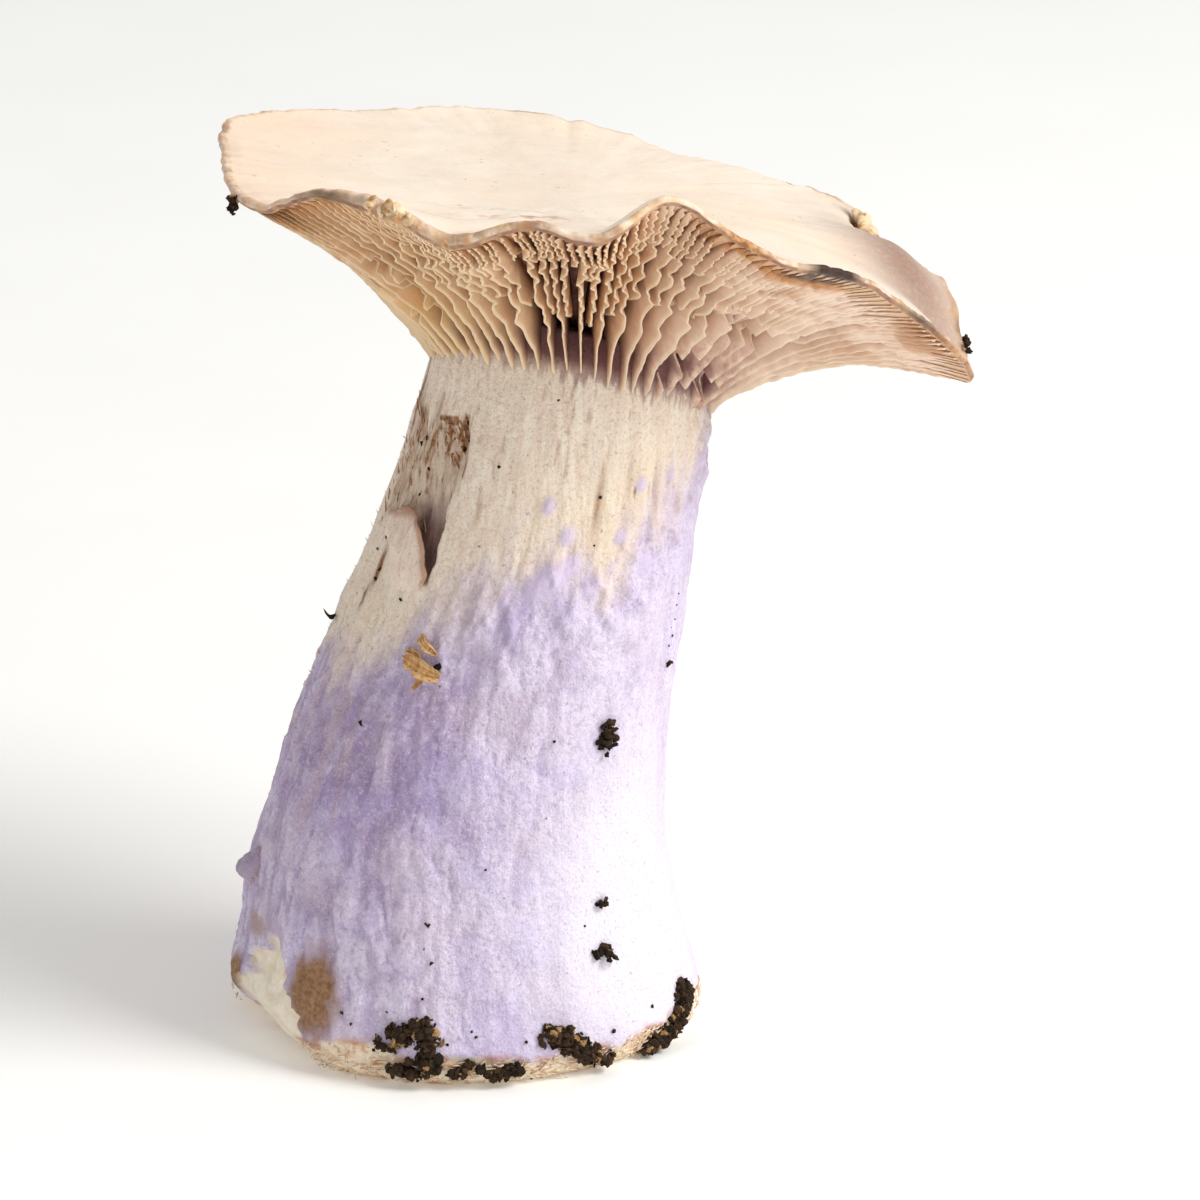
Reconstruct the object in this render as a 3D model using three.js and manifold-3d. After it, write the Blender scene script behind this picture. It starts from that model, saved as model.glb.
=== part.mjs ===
// A blue foot mushroom, cut at the foot and standing on its cut end, with the soil and straw
// that still cling to it. Millimetres, +Z up, and the middle of the cut foot is the origin.
// The front, where the gills show under the lifted margin, is -Y. Angles are compass angles in
// degrees: 0 towards +X, 90 towards the back and 270 towards the front.

import * as THREE from "three";
import { mergeVertices } from "three/addons/utils/BufferGeometryUtils.js";
import Module from "manifold-3d";

const wasm = await Module();
wasm.setup();

// ---- the stem: height, where its middle lies in X, radius ----
const STEM = [
  [0, 0.3, 21.2],
  [1, 0.2, 22.0],
  [2.2, 0, 22.3],
  [5, -0.3, 22.0],
  [10, -0.3, 20.8],
  [17, -0.2, 19.3],
  [24, 0.7, 18.4],
  [32, 2.5, 17.3],
  [40, 4.7, 16.2],
  [48, 6.9, 15.0],
  [56, 8.7, 13.9],
  [62, 9.8, 13.2],
  [72, 11.6, 12.6],
];
const FOOT_LOBES = 0.014; // the cut foot is a little out of round
const FOOT_LOBES_FADE = 12; // and that fades out over this height
const FOOT_DEPTH = 0.9; // the foot is less deep than wide
const ROUND_HEIGHT = 45; // and from here up the stem is round

// ---- the cap: a waved saucer, lifted at the front and drooping into a spout at the right ----
const CAP_X = 9.9; // the middle of the cap
const CAP_MIDDLE_Z = 79.5;
const CAP_DISH = 1.7; // how late the upper skin turns towards the margin
const WAVE_REACH = 5; // the margin's waves die out fast towards the middle
const WAVE_SPAN = 40; // degrees each way over which the waves are averaged away
const MARGIN_THICK = 1.6;

// compass angle in degrees, reach of the margin from the cap's middle, height of the margin
const MARGIN = [
  [0, 37.4, 62.6],
  [10, 36.6, 66.4],
  [24, 35.6, 70.2],
  [38, 34.4, 73.2],
  [54, 33.7, 74.4],
  [70, 33.4, 75.6],
  [86, 33.5, 78.2],
  [105, 33.4, 80.2],
  [125, 33.5, 81.0],
  [145, 34.0, 82.8],
  [156, 34.0, 83.6],
  [168, 32.8, 83.8],
  [182, 31.3, 83.9],
  [195, 31.8, 84.0],
  [205, 32.6, 83.4],
  [214, 32.9, 83.3],
  [229, 32.3, 86.0],
  [242, 32.2, 85.3],
  [252, 32.7, 83.4],
  [265, 32.9, 85.4],
  [275, 33.6, 84.2],
  [287, 31.8, 87.0],
  [297, 32.2, 83.4],
  [304, 32.9, 81.0],
  [318, 33.5, 78.2],
  [330, 33.8, 74.7],
  [341, 35.3, 70.2],
  [351, 36.9, 66.0],
];

// ---- where the gills end on the stem: a tilted ring ----
const COLLAR_Z = 62.2;
const COLLAR_RISE_LEFT = 2.7;
const COLLAR_RISE_FRONT = 4.6;
const GILL_ARCH = 1.3; // the gill edges bow up between the stem and the margin
const GILL_ARCH_SPOUT = 1.6; // and more under the spout
const GILL_FOLD = 1.5; // depth of the pleats that stand for the gills

// ---- how finely the body is drawn ----
const COLUMNS = 96;
const TOP_SHARES = [0, 0.16, 0.34, 0.52, 0.68, 0.82, 0.92, 0.98];
const UNDER_SHARES = [0.98, 0.9, 0.76, 0.6, 0.44, 0.28, 0.12];
const STEM_SHARES = [0, 0.06, 0.16, 0.28, 0.42, 0.56, 0.69, 0.8, 0.88, 0.94];
const FOOT_HEIGHTS = [2.2, 1, 0];
const FOOT_RINGS = [0.6, 0];

// ---- soil and straw ----
const CLEAR = 0.3; // the gap left between a crumb and the skin it clings to
const PEBBLE_WAVE = 0.09; // how far a pebble's surface goes in and out, as a share of its size
const PEBBLE_REACH = 1.3; // its furthest point from its middle, in the same share
const CLOD_PROUD = 0.3; // how far a clod's pebbles stand out from the cut, as a share of their size

const material = (color, roughness) =>
  new THREE.MeshStandardMaterial({ color, roughness, metalness: 0 });
const FLESH = material(0xe6dcd8, 0.6);
const SOIL = material(0x2b221c, 0.95);
const STRAW = material(0xc79a55, 0.8);

// A smooth curve through the rows of a table, read by the table's first column.
function curveThrough(table) {
  const keys = table.map((row) => row[0]);
  const values = table.flatMap((row) => row.slice(1));
  const curve = new THREE.CubicInterpolant(keys, values, table[0].length - 1);
  return (key) => [...curve.evaluate(key)];
}

const stemAt = curveThrough(STEM);
const turned = (rows, by) => rows.map(([angle, ...rest]) => [angle + by, ...rest]);
const marginAt = curveThrough([
  ...turned(MARGIN.slice(-3), -360),
  ...MARGIN,
  ...turned(MARGIN.slice(0, 3), 360),
]);

const cosDeg = (angle) => Math.cos(THREE.MathUtils.degToRad(angle));
const sinDeg = (angle) => Math.sin(THREE.MathUtils.degToRad(angle));

// A point at an angle and a reach from the upright line through (x, 0).
function around(x, reach, angle, z) {
  return new THREE.Vector3(x + reach * cosDeg(angle), reach * sinDeg(angle), z);
}

function stemPoint(height, angle, grow = 0) {
  const [x, radius] = stemAt(height);
  const fade = Math.max(0, 1 - height / FOOT_LOBES_FADE);
  const lobes = 1 + FOOT_LOBES * fade * sinDeg(3 * angle + 60);
  const point = around(x, radius * lobes + grow, angle, height);
  point.y *= THREE.MathUtils.lerp(FOOT_DEPTH, 1, Math.min(1, height / ROUND_HEIGHT));
  return point;
}

const collarHeight = (angle) =>
  COLLAR_Z - COLLAR_RISE_LEFT * cosDeg(angle) - COLLAR_RISE_FRONT * sinDeg(angle);

// The margin's height with its waves averaged away.
function calmHeight(angle) {
  const offsets = [-1, -0.5, 0, 0.5, 1];
  const heights = offsets.map((offset) => marginAt((angle + offset * WAVE_SPAN + 360) % 360)[1]);
  return heights.reduce((sum, height) => sum + height, 0) / heights.length;
}

function marginPoint(angle, lift = 0) {
  const [reach, height] = marginAt(angle);
  return around(CAP_X, reach, angle, height + lift);
}

// The upper skin, from share 0 at the middle of the cap to share 1 at its margin.
function topPoint(share, angle) {
  const [reach, height] = marginAt(angle);
  const calm = calmHeight(angle);
  const dish = (calm + MARGIN_THICK / 2 - CAP_MIDDLE_Z) * share ** CAP_DISH;
  const wave = (height - calm) * share ** WAVE_REACH;
  return around(CAP_X, reach * share, angle, CAP_MIDDLE_Z + dish + wave);
}

// The surface that the gills' free edges make, from share 0 at the stem to share 1 at the
// margin; every second column is pushed up into a pleat.
function underPoint(share, angle, pleat) {
  const edge = marginPoint(angle, -MARGIN_THICK / 2);
  const point = stemPoint(collarHeight(angle), angle).lerp(edge, share);
  const spout = Math.max(0, cosDeg(angle)) ** 2;
  const swell = Math.sin(Math.PI * share);
  point.z += (GILL_ARCH + GILL_ARCH_SPOUT * spout) * swell;
  if (pleat) point.z += GILL_FOLD * swell;
  return point;
}

// The rows of the body, from the middle of the cap over the margin and down to the middle of
// the cut foot. Each row is a function of the angle, and of whether the column is a pleat.
function bodyRows(grow) {
  const lowest = FOOT_HEIGHTS[0];
  const down = (share, angle) => THREE.MathUtils.lerp(collarHeight(angle), lowest, share);
  return [
    ...TOP_SHARES.map((share) => (angle) => topPoint(share, angle)),
    (angle) => marginPoint(angle),
    ...UNDER_SHARES.map((share) => (angle, pleat) => underPoint(share, angle, pleat)),
    ...STEM_SHARES.map((share) => (angle) => stemPoint(down(share, angle), angle, grow)),
    ...FOOT_HEIGHTS.map((height) => (angle) => stemPoint(height, angle, grow)),
    ...FOOT_RINGS.map((share) => (angle) => stemPoint(0, angle, grow).multiplyScalar(share)),
  ];
}

// The body starts as a plain turned shape with one ring of vertices to each row, and then each
// vertex is moved to its place. The rings run from the axis, out, and back to the axis.
function bodyGeometry(grow = 0) {
  const rows = bodyRows(grow);
  const last = rows.length - 1;
  const profile = rows.map((_, i) => new THREE.Vector2(i % last ? 1 : 0, i));
  const geometry = new THREE.LatheGeometry(profile, COLUMNS);
  const position = geometry.attributes.position;
  for (let column = 0; column <= COLUMNS; column++) {
    const angle = ((COLUMNS - column) % COLUMNS) * (360 / COLUMNS);
    rows.forEach((row, i) => {
      const index = column * rows.length + i;
      position.setXYZ(index, ...row(angle, column % 2 === 1));
    });
  }
  return geometry;
}

// Between three.js geometry and manifold-3d solids.
function solidOf(geometry) {
  const bare = geometry.clone();
  bare.deleteAttribute("normal");
  bare.deleteAttribute("uv");
  const merged = mergeVertices(bare, 1e-4);
  const mesh = new wasm.Mesh({
    numProp: 3,
    vertProperties: merged.attributes.position.array,
    triVerts: new Uint32Array(merged.index.array),
  });
  return new wasm.Manifold(mesh);
}

function geometryOf(solid) {
  const mesh = solid.getMesh();
  return new THREE.BufferGeometry()
    .setAttribute("position", new THREE.BufferAttribute(mesh.vertProperties, 3))
    .setIndex(new THREE.BufferAttribute(mesh.triVerts, 1));
}

// A rough pebble: a ball whose surface is pushed in and out by a wave of its own.
function pebble(centre, size, seed) {
  const geometry = new THREE.IcosahedronGeometry(1, 1);
  const position = geometry.attributes.position;
  const v = new THREE.Vector3();
  for (let i = 0; i < position.count; i++) {
    v.fromBufferAttribute(position, i);
    const wave = Math.sin(5 * v.x + seed) + Math.sin(6 * v.y + 2 * seed) + Math.sin(4 * v.z - seed);
    v.multiplyScalar(1 + PEBBLE_WAVE * wave).multiply(size).add(centre);
    position.setXYZ(i, ...v);
  }
  return geometry;
}

const group = new THREE.Group();

function add(name, geometry, look) {
  const mesh = new THREE.Mesh(geometry, look);
  mesh.name = name;
  group.add(mesh);
}

add("mushroom", bodyGeometry(), FLESH);

// Soil pressed into the edge of the cut: pebbles strung from the first angle and height to the
// second, joined, and cut back to leave the gap to the skin.
const cutter = solidOf(bodyGeometry(CLEAR));

function soilClod(name, angles, heights, size, count) {
  let clod = null;
  for (let i = 0; i < count; i++) {
    const share = i / (count - 1);
    const angle = THREE.MathUtils.lerp(angles[0], angles[1], share);
    const height = THREE.MathUtils.lerp(heights[0], heights[1], share);
    const swell = 1 + 0.16 * Math.sin(2.4 * i + count);
    const lump = pebble(
      stemPoint(height, angle, CLOD_PROUD * size),
      new THREE.Vector3(swell, swell, swell).multiplyScalar(size),
      i + angle,
    );
    clod = clod ? clod.add(solidOf(lump)) : solidOf(lump);
  }
  const pieces = clod.subtract(cutter).decompose();
  pieces.sort((a, b) => b.volume() - a.volume());
  add(name, geometryOf(pieces[0]), SOIL);
}

soilClod("soil_clod_front_left", [251, 261], [3.6, 3.2], 2.1, 4);
soilClod("soil_streak_front", [267, 281], [1.7, 1.6], 1.0, 6);
soilClod("soil_clod_front_right", [290, 304], [3.6, 2.4], 1.7, 5);
soilClod("soil_clod_right", [318, 338], [2.0, 4.4], 1.6, 5);

// Loose crumbs, each just clear of the skin: on the stem at a height and angle, and on the cap.
// A crumb's size is half its measure outwards, along the skin, and up.
function crumb(name, middle, angle, size, look) {
  const geometry = pebble(new THREE.Vector3(), new THREE.Vector3(...size), middle.z);
  geometry.rotateZ(THREE.MathUtils.degToRad(angle)).translate(...middle);
  add(name, geometry, look);
}

function stemCrumb(name, height, angle, size, look) {
  crumb(name, stemPoint(height, angle, CLEAR + PEBBLE_REACH * size[0]), angle, size, look);
}

function marginCrumb(name, angle, size, lift) {
  const [reach, height] = marginAt(angle);
  const out = reach + CLEAR + PEBBLE_REACH * size[0];
  crumb(name, around(CAP_X, out, angle, height + lift), angle, size, SOIL);
}

stemCrumb("soil_crumb_upper", 32, 309, [0.7, 1.1, 1.5], SOIL);
stemCrumb("soil_crumb_lower", 11.5, 311, [0.7, 1.2, 0.9], SOIL);
stemCrumb("soil_crumb_small", 16, 313, [0.4, 0.6, 0.5], SOIL);
stemCrumb("straw_flake_wide", 38.6, 242, [0.6, 2.0, 1.1], STRAW);
stemCrumb("straw_flake_thin", 41.4, 240, [0.6, 0.7, 1.6], STRAW);
marginCrumb("soil_crumb_margin", 206, [0.7, 0.6, 1.0], -1.2);
marginCrumb("soil_crumb_spout", 8, [0.5, 0.9, 0.8], 0.6);

export default group;
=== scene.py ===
# %% [markdown]
# # A blue foot mushroom
# This mushroom has a waved cream cap, crowded gills that hang under it, and a thick lilac stem cut
# flat at the foot. Compost and straw still cling to it. It grew as one piece, but it is easier to
# model as a few surfaces that meet: the cap, the stem and the gills, each a function of two
# parameters on a grid. All shapes below are worked out in millimetres and go into their meshes in
# metres.

# %% The frame that everything has to fit
import itertools
import math

import bmesh
import bpy
import numpy as np
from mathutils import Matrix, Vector


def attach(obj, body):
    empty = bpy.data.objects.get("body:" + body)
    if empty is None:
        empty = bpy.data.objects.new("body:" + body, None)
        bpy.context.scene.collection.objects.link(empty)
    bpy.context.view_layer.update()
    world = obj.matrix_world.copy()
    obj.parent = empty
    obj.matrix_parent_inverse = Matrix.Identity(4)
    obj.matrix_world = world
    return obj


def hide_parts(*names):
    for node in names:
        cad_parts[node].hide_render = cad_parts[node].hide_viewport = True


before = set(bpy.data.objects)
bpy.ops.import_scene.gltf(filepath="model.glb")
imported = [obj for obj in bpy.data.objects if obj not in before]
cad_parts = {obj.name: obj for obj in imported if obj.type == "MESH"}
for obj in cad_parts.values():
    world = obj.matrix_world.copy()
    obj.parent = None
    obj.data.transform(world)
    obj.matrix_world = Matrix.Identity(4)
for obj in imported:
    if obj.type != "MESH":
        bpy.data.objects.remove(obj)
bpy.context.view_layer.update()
MM = 0.001

# %% [markdown]
# ## The driving shape
# Three things set the mushroom's form: the stem, as a leaning line with a radius at each height; the
# margin of the cap, as a reach and a height at each compass angle (0 is right, 270 is the front); and
# the collar, the tilted ring where the gills end on the stem. They could be drawn as curve objects,
# but as short tables they can be read by every surface, so all the surfaces meet.

# %% Tables for the stem and the margin
# height, where the stem's middle lies in X, radius
STEM = np.array([
    [0, 0.3, 21.2], [1, 0.2, 22.0], [2.2, 0, 22.3], [5, -0.3, 22.0], [10, -0.3, 20.8],
    [17, -0.2, 19.3], [24, 0.7, 18.4], [32, 2.5, 17.3], [40, 4.7, 16.2], [48, 6.9, 15.0],
    [56, 8.7, 13.9], [62, 9.8, 13.2], [72, 11.6, 12.6],
])
# compass angle, reach from the cap's middle, height
MARGIN = np.array([
    [0, 37.4, 62.6], [10, 36.6, 66.4], [24, 35.6, 70.2], [38, 34.4, 73.2], [54, 33.7, 74.4],
    [70, 33.4, 75.6], [86, 33.5, 78.2], [105, 33.4, 80.2], [125, 33.5, 81.0], [145, 34.0, 82.8],
    [156, 34.0, 83.6], [168, 32.8, 83.8], [182, 31.3, 83.9], [195, 31.8, 84.0], [205, 32.6, 83.4],
    [214, 32.9, 83.3], [229, 32.3, 86.0], [242, 32.2, 85.3], [252, 32.7, 83.4], [265, 32.9, 85.4],
    [275, 33.6, 84.2], [287, 31.8, 87.0], [297, 32.2, 83.4], [304, 32.9, 81.0], [318, 33.5, 78.2],
    [330, 33.8, 74.7], [341, 35.3, 70.2], [351, 36.9, 66.0],
])
FOOT_LOBES, FOOT_LOBES_FADE = 0.014, 12
FOOT_DEPTH, ROUND_HEIGHT = 0.9, 45
CAP_X, CAP_MIDDLE_Z, CAP_DISH = 9.9, 79.5, 1.7
MARGIN_REACH = 34
WAVE_REACH, WAVE_SPAN = 5, 40
COLLAR_Z, COLLAR_RISE_LEFT, COLLAR_RISE_FRONT = 62.2, 2.7, 4.6
GILL_ARCH, GILL_ARCH_SPOUT = 1.3, 1.6

print("stem:", len(STEM), "rows, margin:", len(MARGIN), "rows reaching", MARGIN[:, 1].max(), "mm")

# %% Curves through the tables
def through(table, at):
    """A smooth curve through a table's rows. Between two rows it is the cubic whose slope at each row
    is that of the chord between the row's two neighbours."""
    keys, values = table[:, 0], table[:, 1:]
    slopes = np.gradient(values, keys, axis=0)
    at = np.asarray(at, float)
    i = np.clip(np.searchsorted(keys, at, side="right") - 1, 0, len(keys) - 2)
    width = (keys[i + 1] - keys[i])[..., None]
    t = ((at - keys[i])[..., None] / width).clip(0, 1)
    start, end = values[i], values[i + 1]
    leave, arrive = slopes[i] * width, slopes[i + 1] * width
    curve = (
        start * (2 * t**3 - 3 * t**2 + 1) + leave * (t**3 - 2 * t**2 + t)
        + end * (3 * t**2 - 2 * t**3) + arrive * (t**3 - t**2)
    )
    return np.moveaxis(curve, -1, 0)


def round_and_round(table):
    """The same table with a turn before and a turn after, so that a curve through it closes."""
    turn = np.zeros(table.shape[1])
    turn[0] = 360
    return np.vstack([table - turn, table, table + turn])


MARGIN_ROUND = round_and_round(MARGIN)


print("the stem's radius 40 mm up:", through(STEM, 40.0)[1].round(2), "mm")

# %% Small functions that every shape uses
def cos(angle):
    return np.cos(np.radians(angle))


def sin(angle):
    return np.sin(np.radians(angle))


def ease(x, low, high):
    """0 below low, 1 above high, and a smooth S between them. low may be the larger."""
    t = np.clip((x - low) / (high - low), 0, 1)
    return t * t * (3 - 2 * t)


def lerp(a, b, share):
    return a + (b - a) * share


def hill(x, middle, width):
    """A smooth hill of height 1 at middle, down to a third of that at width to either side."""
    return np.exp(-(((x - middle) / width) ** 2))


def turned_from(angle, start):
    """The signed turn from one compass angle to another, -180 to 180 degrees."""
    return (angle - start + 180) % 360 - 180


def together(*parts):
    """Points whose coordinates are the given arrays, each stretched to their common shape."""
    return np.stack(np.broadcast_arrays(*parts), -1)


def outwards(angle):
    """The level direction away from the axis."""
    return together(cos(angle), sin(angle), 0 * angle)


def sideways(angle):
    """The level direction a quarter turn further round, anticlockwise from above."""
    return together(-sin(angle), cos(angle), 0 * angle)


def cap_point(reach, angle, height):
    """A place at a reach from the cap's middle, in the direction of a compass angle."""
    return together(CAP_X + reach * cos(angle), reach * sin(angle), height)

# %% Places on the stem and the cap
def stem_point(height, angle, out=0.0):
    """The stem's skin: a circle of the table's radius round the table's middle, a little lobed and
    flattened near the foot, and moved outwards by out."""
    x, radius = through(STEM, height)
    lobes = 1 + FOOT_LOBES * np.clip(1 - height / FOOT_LOBES_FADE, 0, 1) * sin(3 * angle + 60)
    reach = radius * lobes + out
    flat = lerp(FOOT_DEPTH, 1, np.clip(height / ROUND_HEIGHT, 0, 1))
    return together(x + reach * cos(angle), reach * sin(angle) * flat, height)


def collar_height(angle):
    """The collar's height: a level plane tilted up towards the left and the front."""
    return COLLAR_Z - COLLAR_RISE_LEFT * cos(angle) - COLLAR_RISE_FRONT * sin(angle)


def calm_height(angle):
    """The margin's height with its waves averaged away."""
    offsets = WAVE_SPAN * np.array([-1, -0.5, 0, 0.5, 1])
    return sum(through(MARGIN_ROUND, (angle + offset) % 360)[1] for offset in offsets) / len(offsets)


print("collar height at the left:", collar_height(180).round(1), "at the right:", collar_height(0).round(1))

# %% [markdown]
# ## Roughness in numbers
# Grown skin is never smooth. Blender's noise textures can only roughen a surface in a material, so a
# small noise function in numpy moves the vertices themselves, and paints masks such as stains.

# %% Noise for whole arrays of points
LATTICE = 32
STEM_RADIUS, FOOT_RADIUS = 17, 20
WRAP_RADIUS, WRAP_CENTRE = 18, 50


def soft_noise(points, seed):
    """Value noise: random numbers on the corners of unit cells, blended smoothly across each cell."""
    table = np.random.default_rng(seed).uniform(-1, 1, (LATTICE,) * 3)
    base = np.floor(points).astype(int)
    part = points - base
    part = part * part * (3 - 2 * part)
    total = np.zeros(points.shape[:-1])
    for corner in itertools.product((0, 1), repeat=3):
        i, j, k = np.moveaxis((base + corner) % LATTICE, -1, 0)
        total += table[i, j, k] * np.prod(np.where(corner, part, 1 - part), axis=-1)
    return total


def cloudy(points, seed, octaves=3):
    """Several soft noises, each twice as fine and half as strong as the one before."""
    layers = [soft_noise(points * 2**i, seed + i) / 2**i for i in range(octaves)]
    return sum(layers) / (2 - 2 ** (1 - octaves))


noise_sample = cloudy(together(np.linspace(0, 20, 400), 0.5, 0.5), 1)
print("noise from", noise_sample.min().round(2), "to", noise_sample.max().round(2))

# %% Noise and spots on the stem
def on_stem(height, angle, width, length):
    """Points for noise that wraps round the stem, in cells width wide and length tall, in mm."""
    radius = WRAP_RADIUS / width
    return together(radius * cos(angle) + WRAP_CENTRE, radius * sin(angle) + WRAP_CENTRE, height / length)


def ring_noise(angle, radius, centre, seed):
    """Noise along a closed ring: the larger its radius, the finer the noise."""
    return cloudy(radius * outwards(angle) + [centre, centre, 0], seed)


def spot(height, angle, place, size):
    """A round hill of height 1 on the stem, at place (angle, height), size mm wide and tall."""
    across = np.radians(turned_from(angle, place[0])) * STEM_RADIUS
    return np.exp(-((across / size[0]) ** 2) - ((height - place[1]) / size[1]) ** 2)


def spots(height, angle, *rows):
    """Several spots added up. Each row is a strength, the place's angle and height, width, tallness."""
    return sum(row[0] * spot(height, angle, row[1:3], row[3:]) for row in rows)


print("a spot 1 mm from its middle:", spot(11.0, 270, (270, 10), (1, 1)).round(3))

# %% [markdown]
# ## From grids to meshes
# A surface that closes round an axis is a grid whose last column meets its first. Its first and last
# rows shrink to a point, so the mesh is closed. Filling the mesh from whole arrays is many times
# faster than adding faces one by one.

# %% Grids into closed meshes
def put_mesh(name, points, quads, uv, marks):
    """A mesh object from points in mm, quads as rows of four indices, a uv for each quad's corner, and
    marks, the named numbers that each point carries for its material."""
    mesh = bpy.data.meshes.new(name)
    mesh.vertices.add(len(points))
    mesh.vertices.foreach_set("co", (points * MM).astype(np.float32).ravel())
    mesh.loops.add(quads.size)
    mesh.loops.foreach_set("vertex_index", quads.astype(np.int32).ravel())
    mesh.polygons.add(len(quads))
    mesh.polygons.foreach_set("loop_start", np.arange(0, quads.size, 4, dtype=np.int32))
    mesh.polygons.foreach_set("use_smooth", np.ones(len(quads), bool))
    mesh.uv_layers.new(name="OFBake").uv.foreach_set("vector", uv.astype(np.float32).ravel())
    for mark, numbers in marks.items():
        layer = mesh.attributes.new(mark, "FLOAT", "POINT")
        layer.data.foreach_set("value", np.asarray(numbers, np.float32).ravel())
    mesh.update()
    mesh.validate()
    piece = bpy.data.objects.new(name, mesh)
    bpy.context.scene.collection.objects.link(piece)
    print(name, len(points), "points", 2 * len(quads), "triangles")
    return piece

# %% Surfaces that close round an axis
def round_grid(name, points, marks):
    """A closed surface from points[row, column]: columns go once round, from row 0 to the last row,
    and the first and last rows close to a point each. Seen from outside, rows run downwards while
    columns run anticlockwise from above."""
    rows, columns = points.shape[:2]
    index = np.arange(rows * columns).reshape(rows, columns)
    after = np.roll(index, -1, axis=1)
    quads = np.stack([index[:-1], index[1:], after[1:], after[:-1]], -1).reshape(-1, 4)
    u = np.arange(columns) / columns
    v = 1 - np.arange(rows) / (rows - 1)
    left, top = np.meshgrid(u, v[:-1])
    right, bottom = left + 1 / columns, np.broadcast_to(v[1:, None], left.shape)
    uv = np.stack([left, top, left, bottom, right, bottom, right, top], -1).reshape(-1, 4, 2)
    flat = {mark: np.broadcast_to(numbers, (rows, columns)) for mark, numbers in marks.items()}
    piece = put_mesh(name, points.reshape(-1, 3), quads, uv, flat)
    close_ends(piece, index)
    return piece


def close_ends(piece, index):
    """Merges each end row, whose points all share one place, into a single vertex."""
    mesh = bmesh.new()
    mesh.from_mesh(piece.data)
    mesh.verts.ensure_lookup_table()
    ends = [mesh.verts[i] for i in np.concatenate([index[0], index[-1]])]
    bmesh.ops.remove_doubles(mesh, verts=ends, dist=1e-7)
    mesh.to_mesh(piece.data)
    mesh.free()

# %% [markdown]
# ## Finishes as small recipes
# Each finish is a Principled shader fed by a few nodes. These helpers keep a recipe to one line per
# step: a noise, a colour ramp, a mix, or one of the marks painted on the mesh.

# %% Colours picked on screen
def ink(red, green, blue):
    """A colour picked on screen, 0 to 255, as the linear colour that a shader takes."""
    screen = np.array([red, green, blue]) / 255
    linear = np.where(screen <= 0.04045, screen / 12.92, ((screen + 0.055) / 1.055) ** 2.4)
    return (*linear.tolist(), 1.0)


print("middle grey on screen is", round(ink(128, 128, 128)[0], 3), "in linear light")

# %% A material with one shader
class Finish:
    """A material with one Principled shader, and methods that each add one step to it."""

    def __init__(self, name, roughness, **sockets):
        self.material = bpy.data.materials.new(name)
        self.material.use_nodes = True
        self.tree = self.material.node_tree
        self.shader = self.tree.nodes["Principled BSDF"]
        self.shader.inputs["Roughness"].default_value = roughness
        for socket, value in sockets.items():
            self.shader.inputs[socket.replace("_", " ")].default_value = value
        self.place = self.add("TexCoord").outputs["Object"]

    def add(self, kind, **settings):
        node = self.tree.nodes.new("ShaderNode" + kind)
        for name, value in settings.items():
            setattr(node, name, value)
        return node

    def feed(self, socket, value):
        """Links a socket to another, or sets it: a tuple of three is a colour picked on screen."""
        if isinstance(value, bpy.types.NodeSocket):
            self.tree.links.new(value, socket)
        else:
            socket.default_value = ink(*value) if isinstance(value, tuple) else value

    def mark(self, name):
        return self.add("Attribute", attribute_name=name).outputs["Fac"]

    def stretch(self, scale):
        """Object coordinates, stretched."""
        node = self.add("Mapping")
        self.feed(node.inputs["Vector"], self.place)
        node.inputs["Scale"].default_value = scale
        return node.outputs["Vector"]

    def noise(self, size, detail=4, vector=None, roughness=0.55):
        """Noise with lumps of about size mm, 0 to 1."""
        node = self.add("TexNoise")
        self.feed(node.inputs["Vector"], vector or self.place)
        node.inputs["Scale"].default_value = 1 / (size * MM)
        node.inputs["Detail"].default_value = detail
        node.inputs["Roughness"].default_value = roughness
        return node.outputs["Fac"]

    def math(self, operation, a, b=0.0, clamp=False):
        node = self.add("Math", operation=operation, use_clamp=clamp)
        self.feed(node.inputs[0], a)
        self.feed(node.inputs[1], b)
        return node.outputs[0]

    def span(self, value, low, high):
        """0 where value is low or less, 1 where it is high or more."""
        node = self.add("MapRange", interpolation_type="SMOOTHSTEP")
        self.feed(node.inputs["Value"], value)
        node.inputs["From Min"].default_value = low
        node.inputs["From Max"].default_value = high
        return node.outputs["Result"]

    def mix(self, share, a, b):
        node = self.add("Mix", data_type="RGBA")
        self.feed(node.inputs["Factor"], share)
        self.feed(node.inputs[6], a)
        self.feed(node.inputs[7], b)
        return node.outputs[2]

    def ramp(self, value, low, high, first, second):
        """The first colour where value is low or less, and the second where it is high or more."""
        return self.mix(self.span(value, low, high), first, second)

    def coats(self, colour, *rows):
        """Tints laid one over another. Each row is a value, the low and the high between which the
        tint comes in, its colour and its strength."""
        for value, low, high, other, strength in rows:
            colour = self.tint(colour, self.span(value, low, high), other, strength)
        return colour

    def tint(self, colour, share, other, strength):
        """A colour, tinted with another by strength where share is 1."""
        return self.mix(self.math("MULTIPLY", share, strength), colour, other)

    def bump(self, height, depth, under=None):
        """A bump of depth mm where height goes from 0 to 1."""
        node = self.add("Bump")
        node.inputs["Distance"].default_value = depth * MM
        self.feed(node.inputs["Height"], height)
        if under:
            self.feed(node.inputs["Normal"], under)
        return node.outputs["Normal"]

    def done(self, colour, normal=None, roughness=None):
        self.feed(self.shader.inputs["Base Color"], colour)
        if normal:
            self.feed(self.shader.inputs["Normal"], normal)
        if roughness:
            self.feed(self.shader.inputs["Roughness"], roughness)
        print("finish", self.material.name, "of", len(self.material.node_tree.nodes), "nodes")
        return self.material


print("a finish can", ", ".join(name for name in vars(Finish) if not name.startswith("_")))

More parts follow.
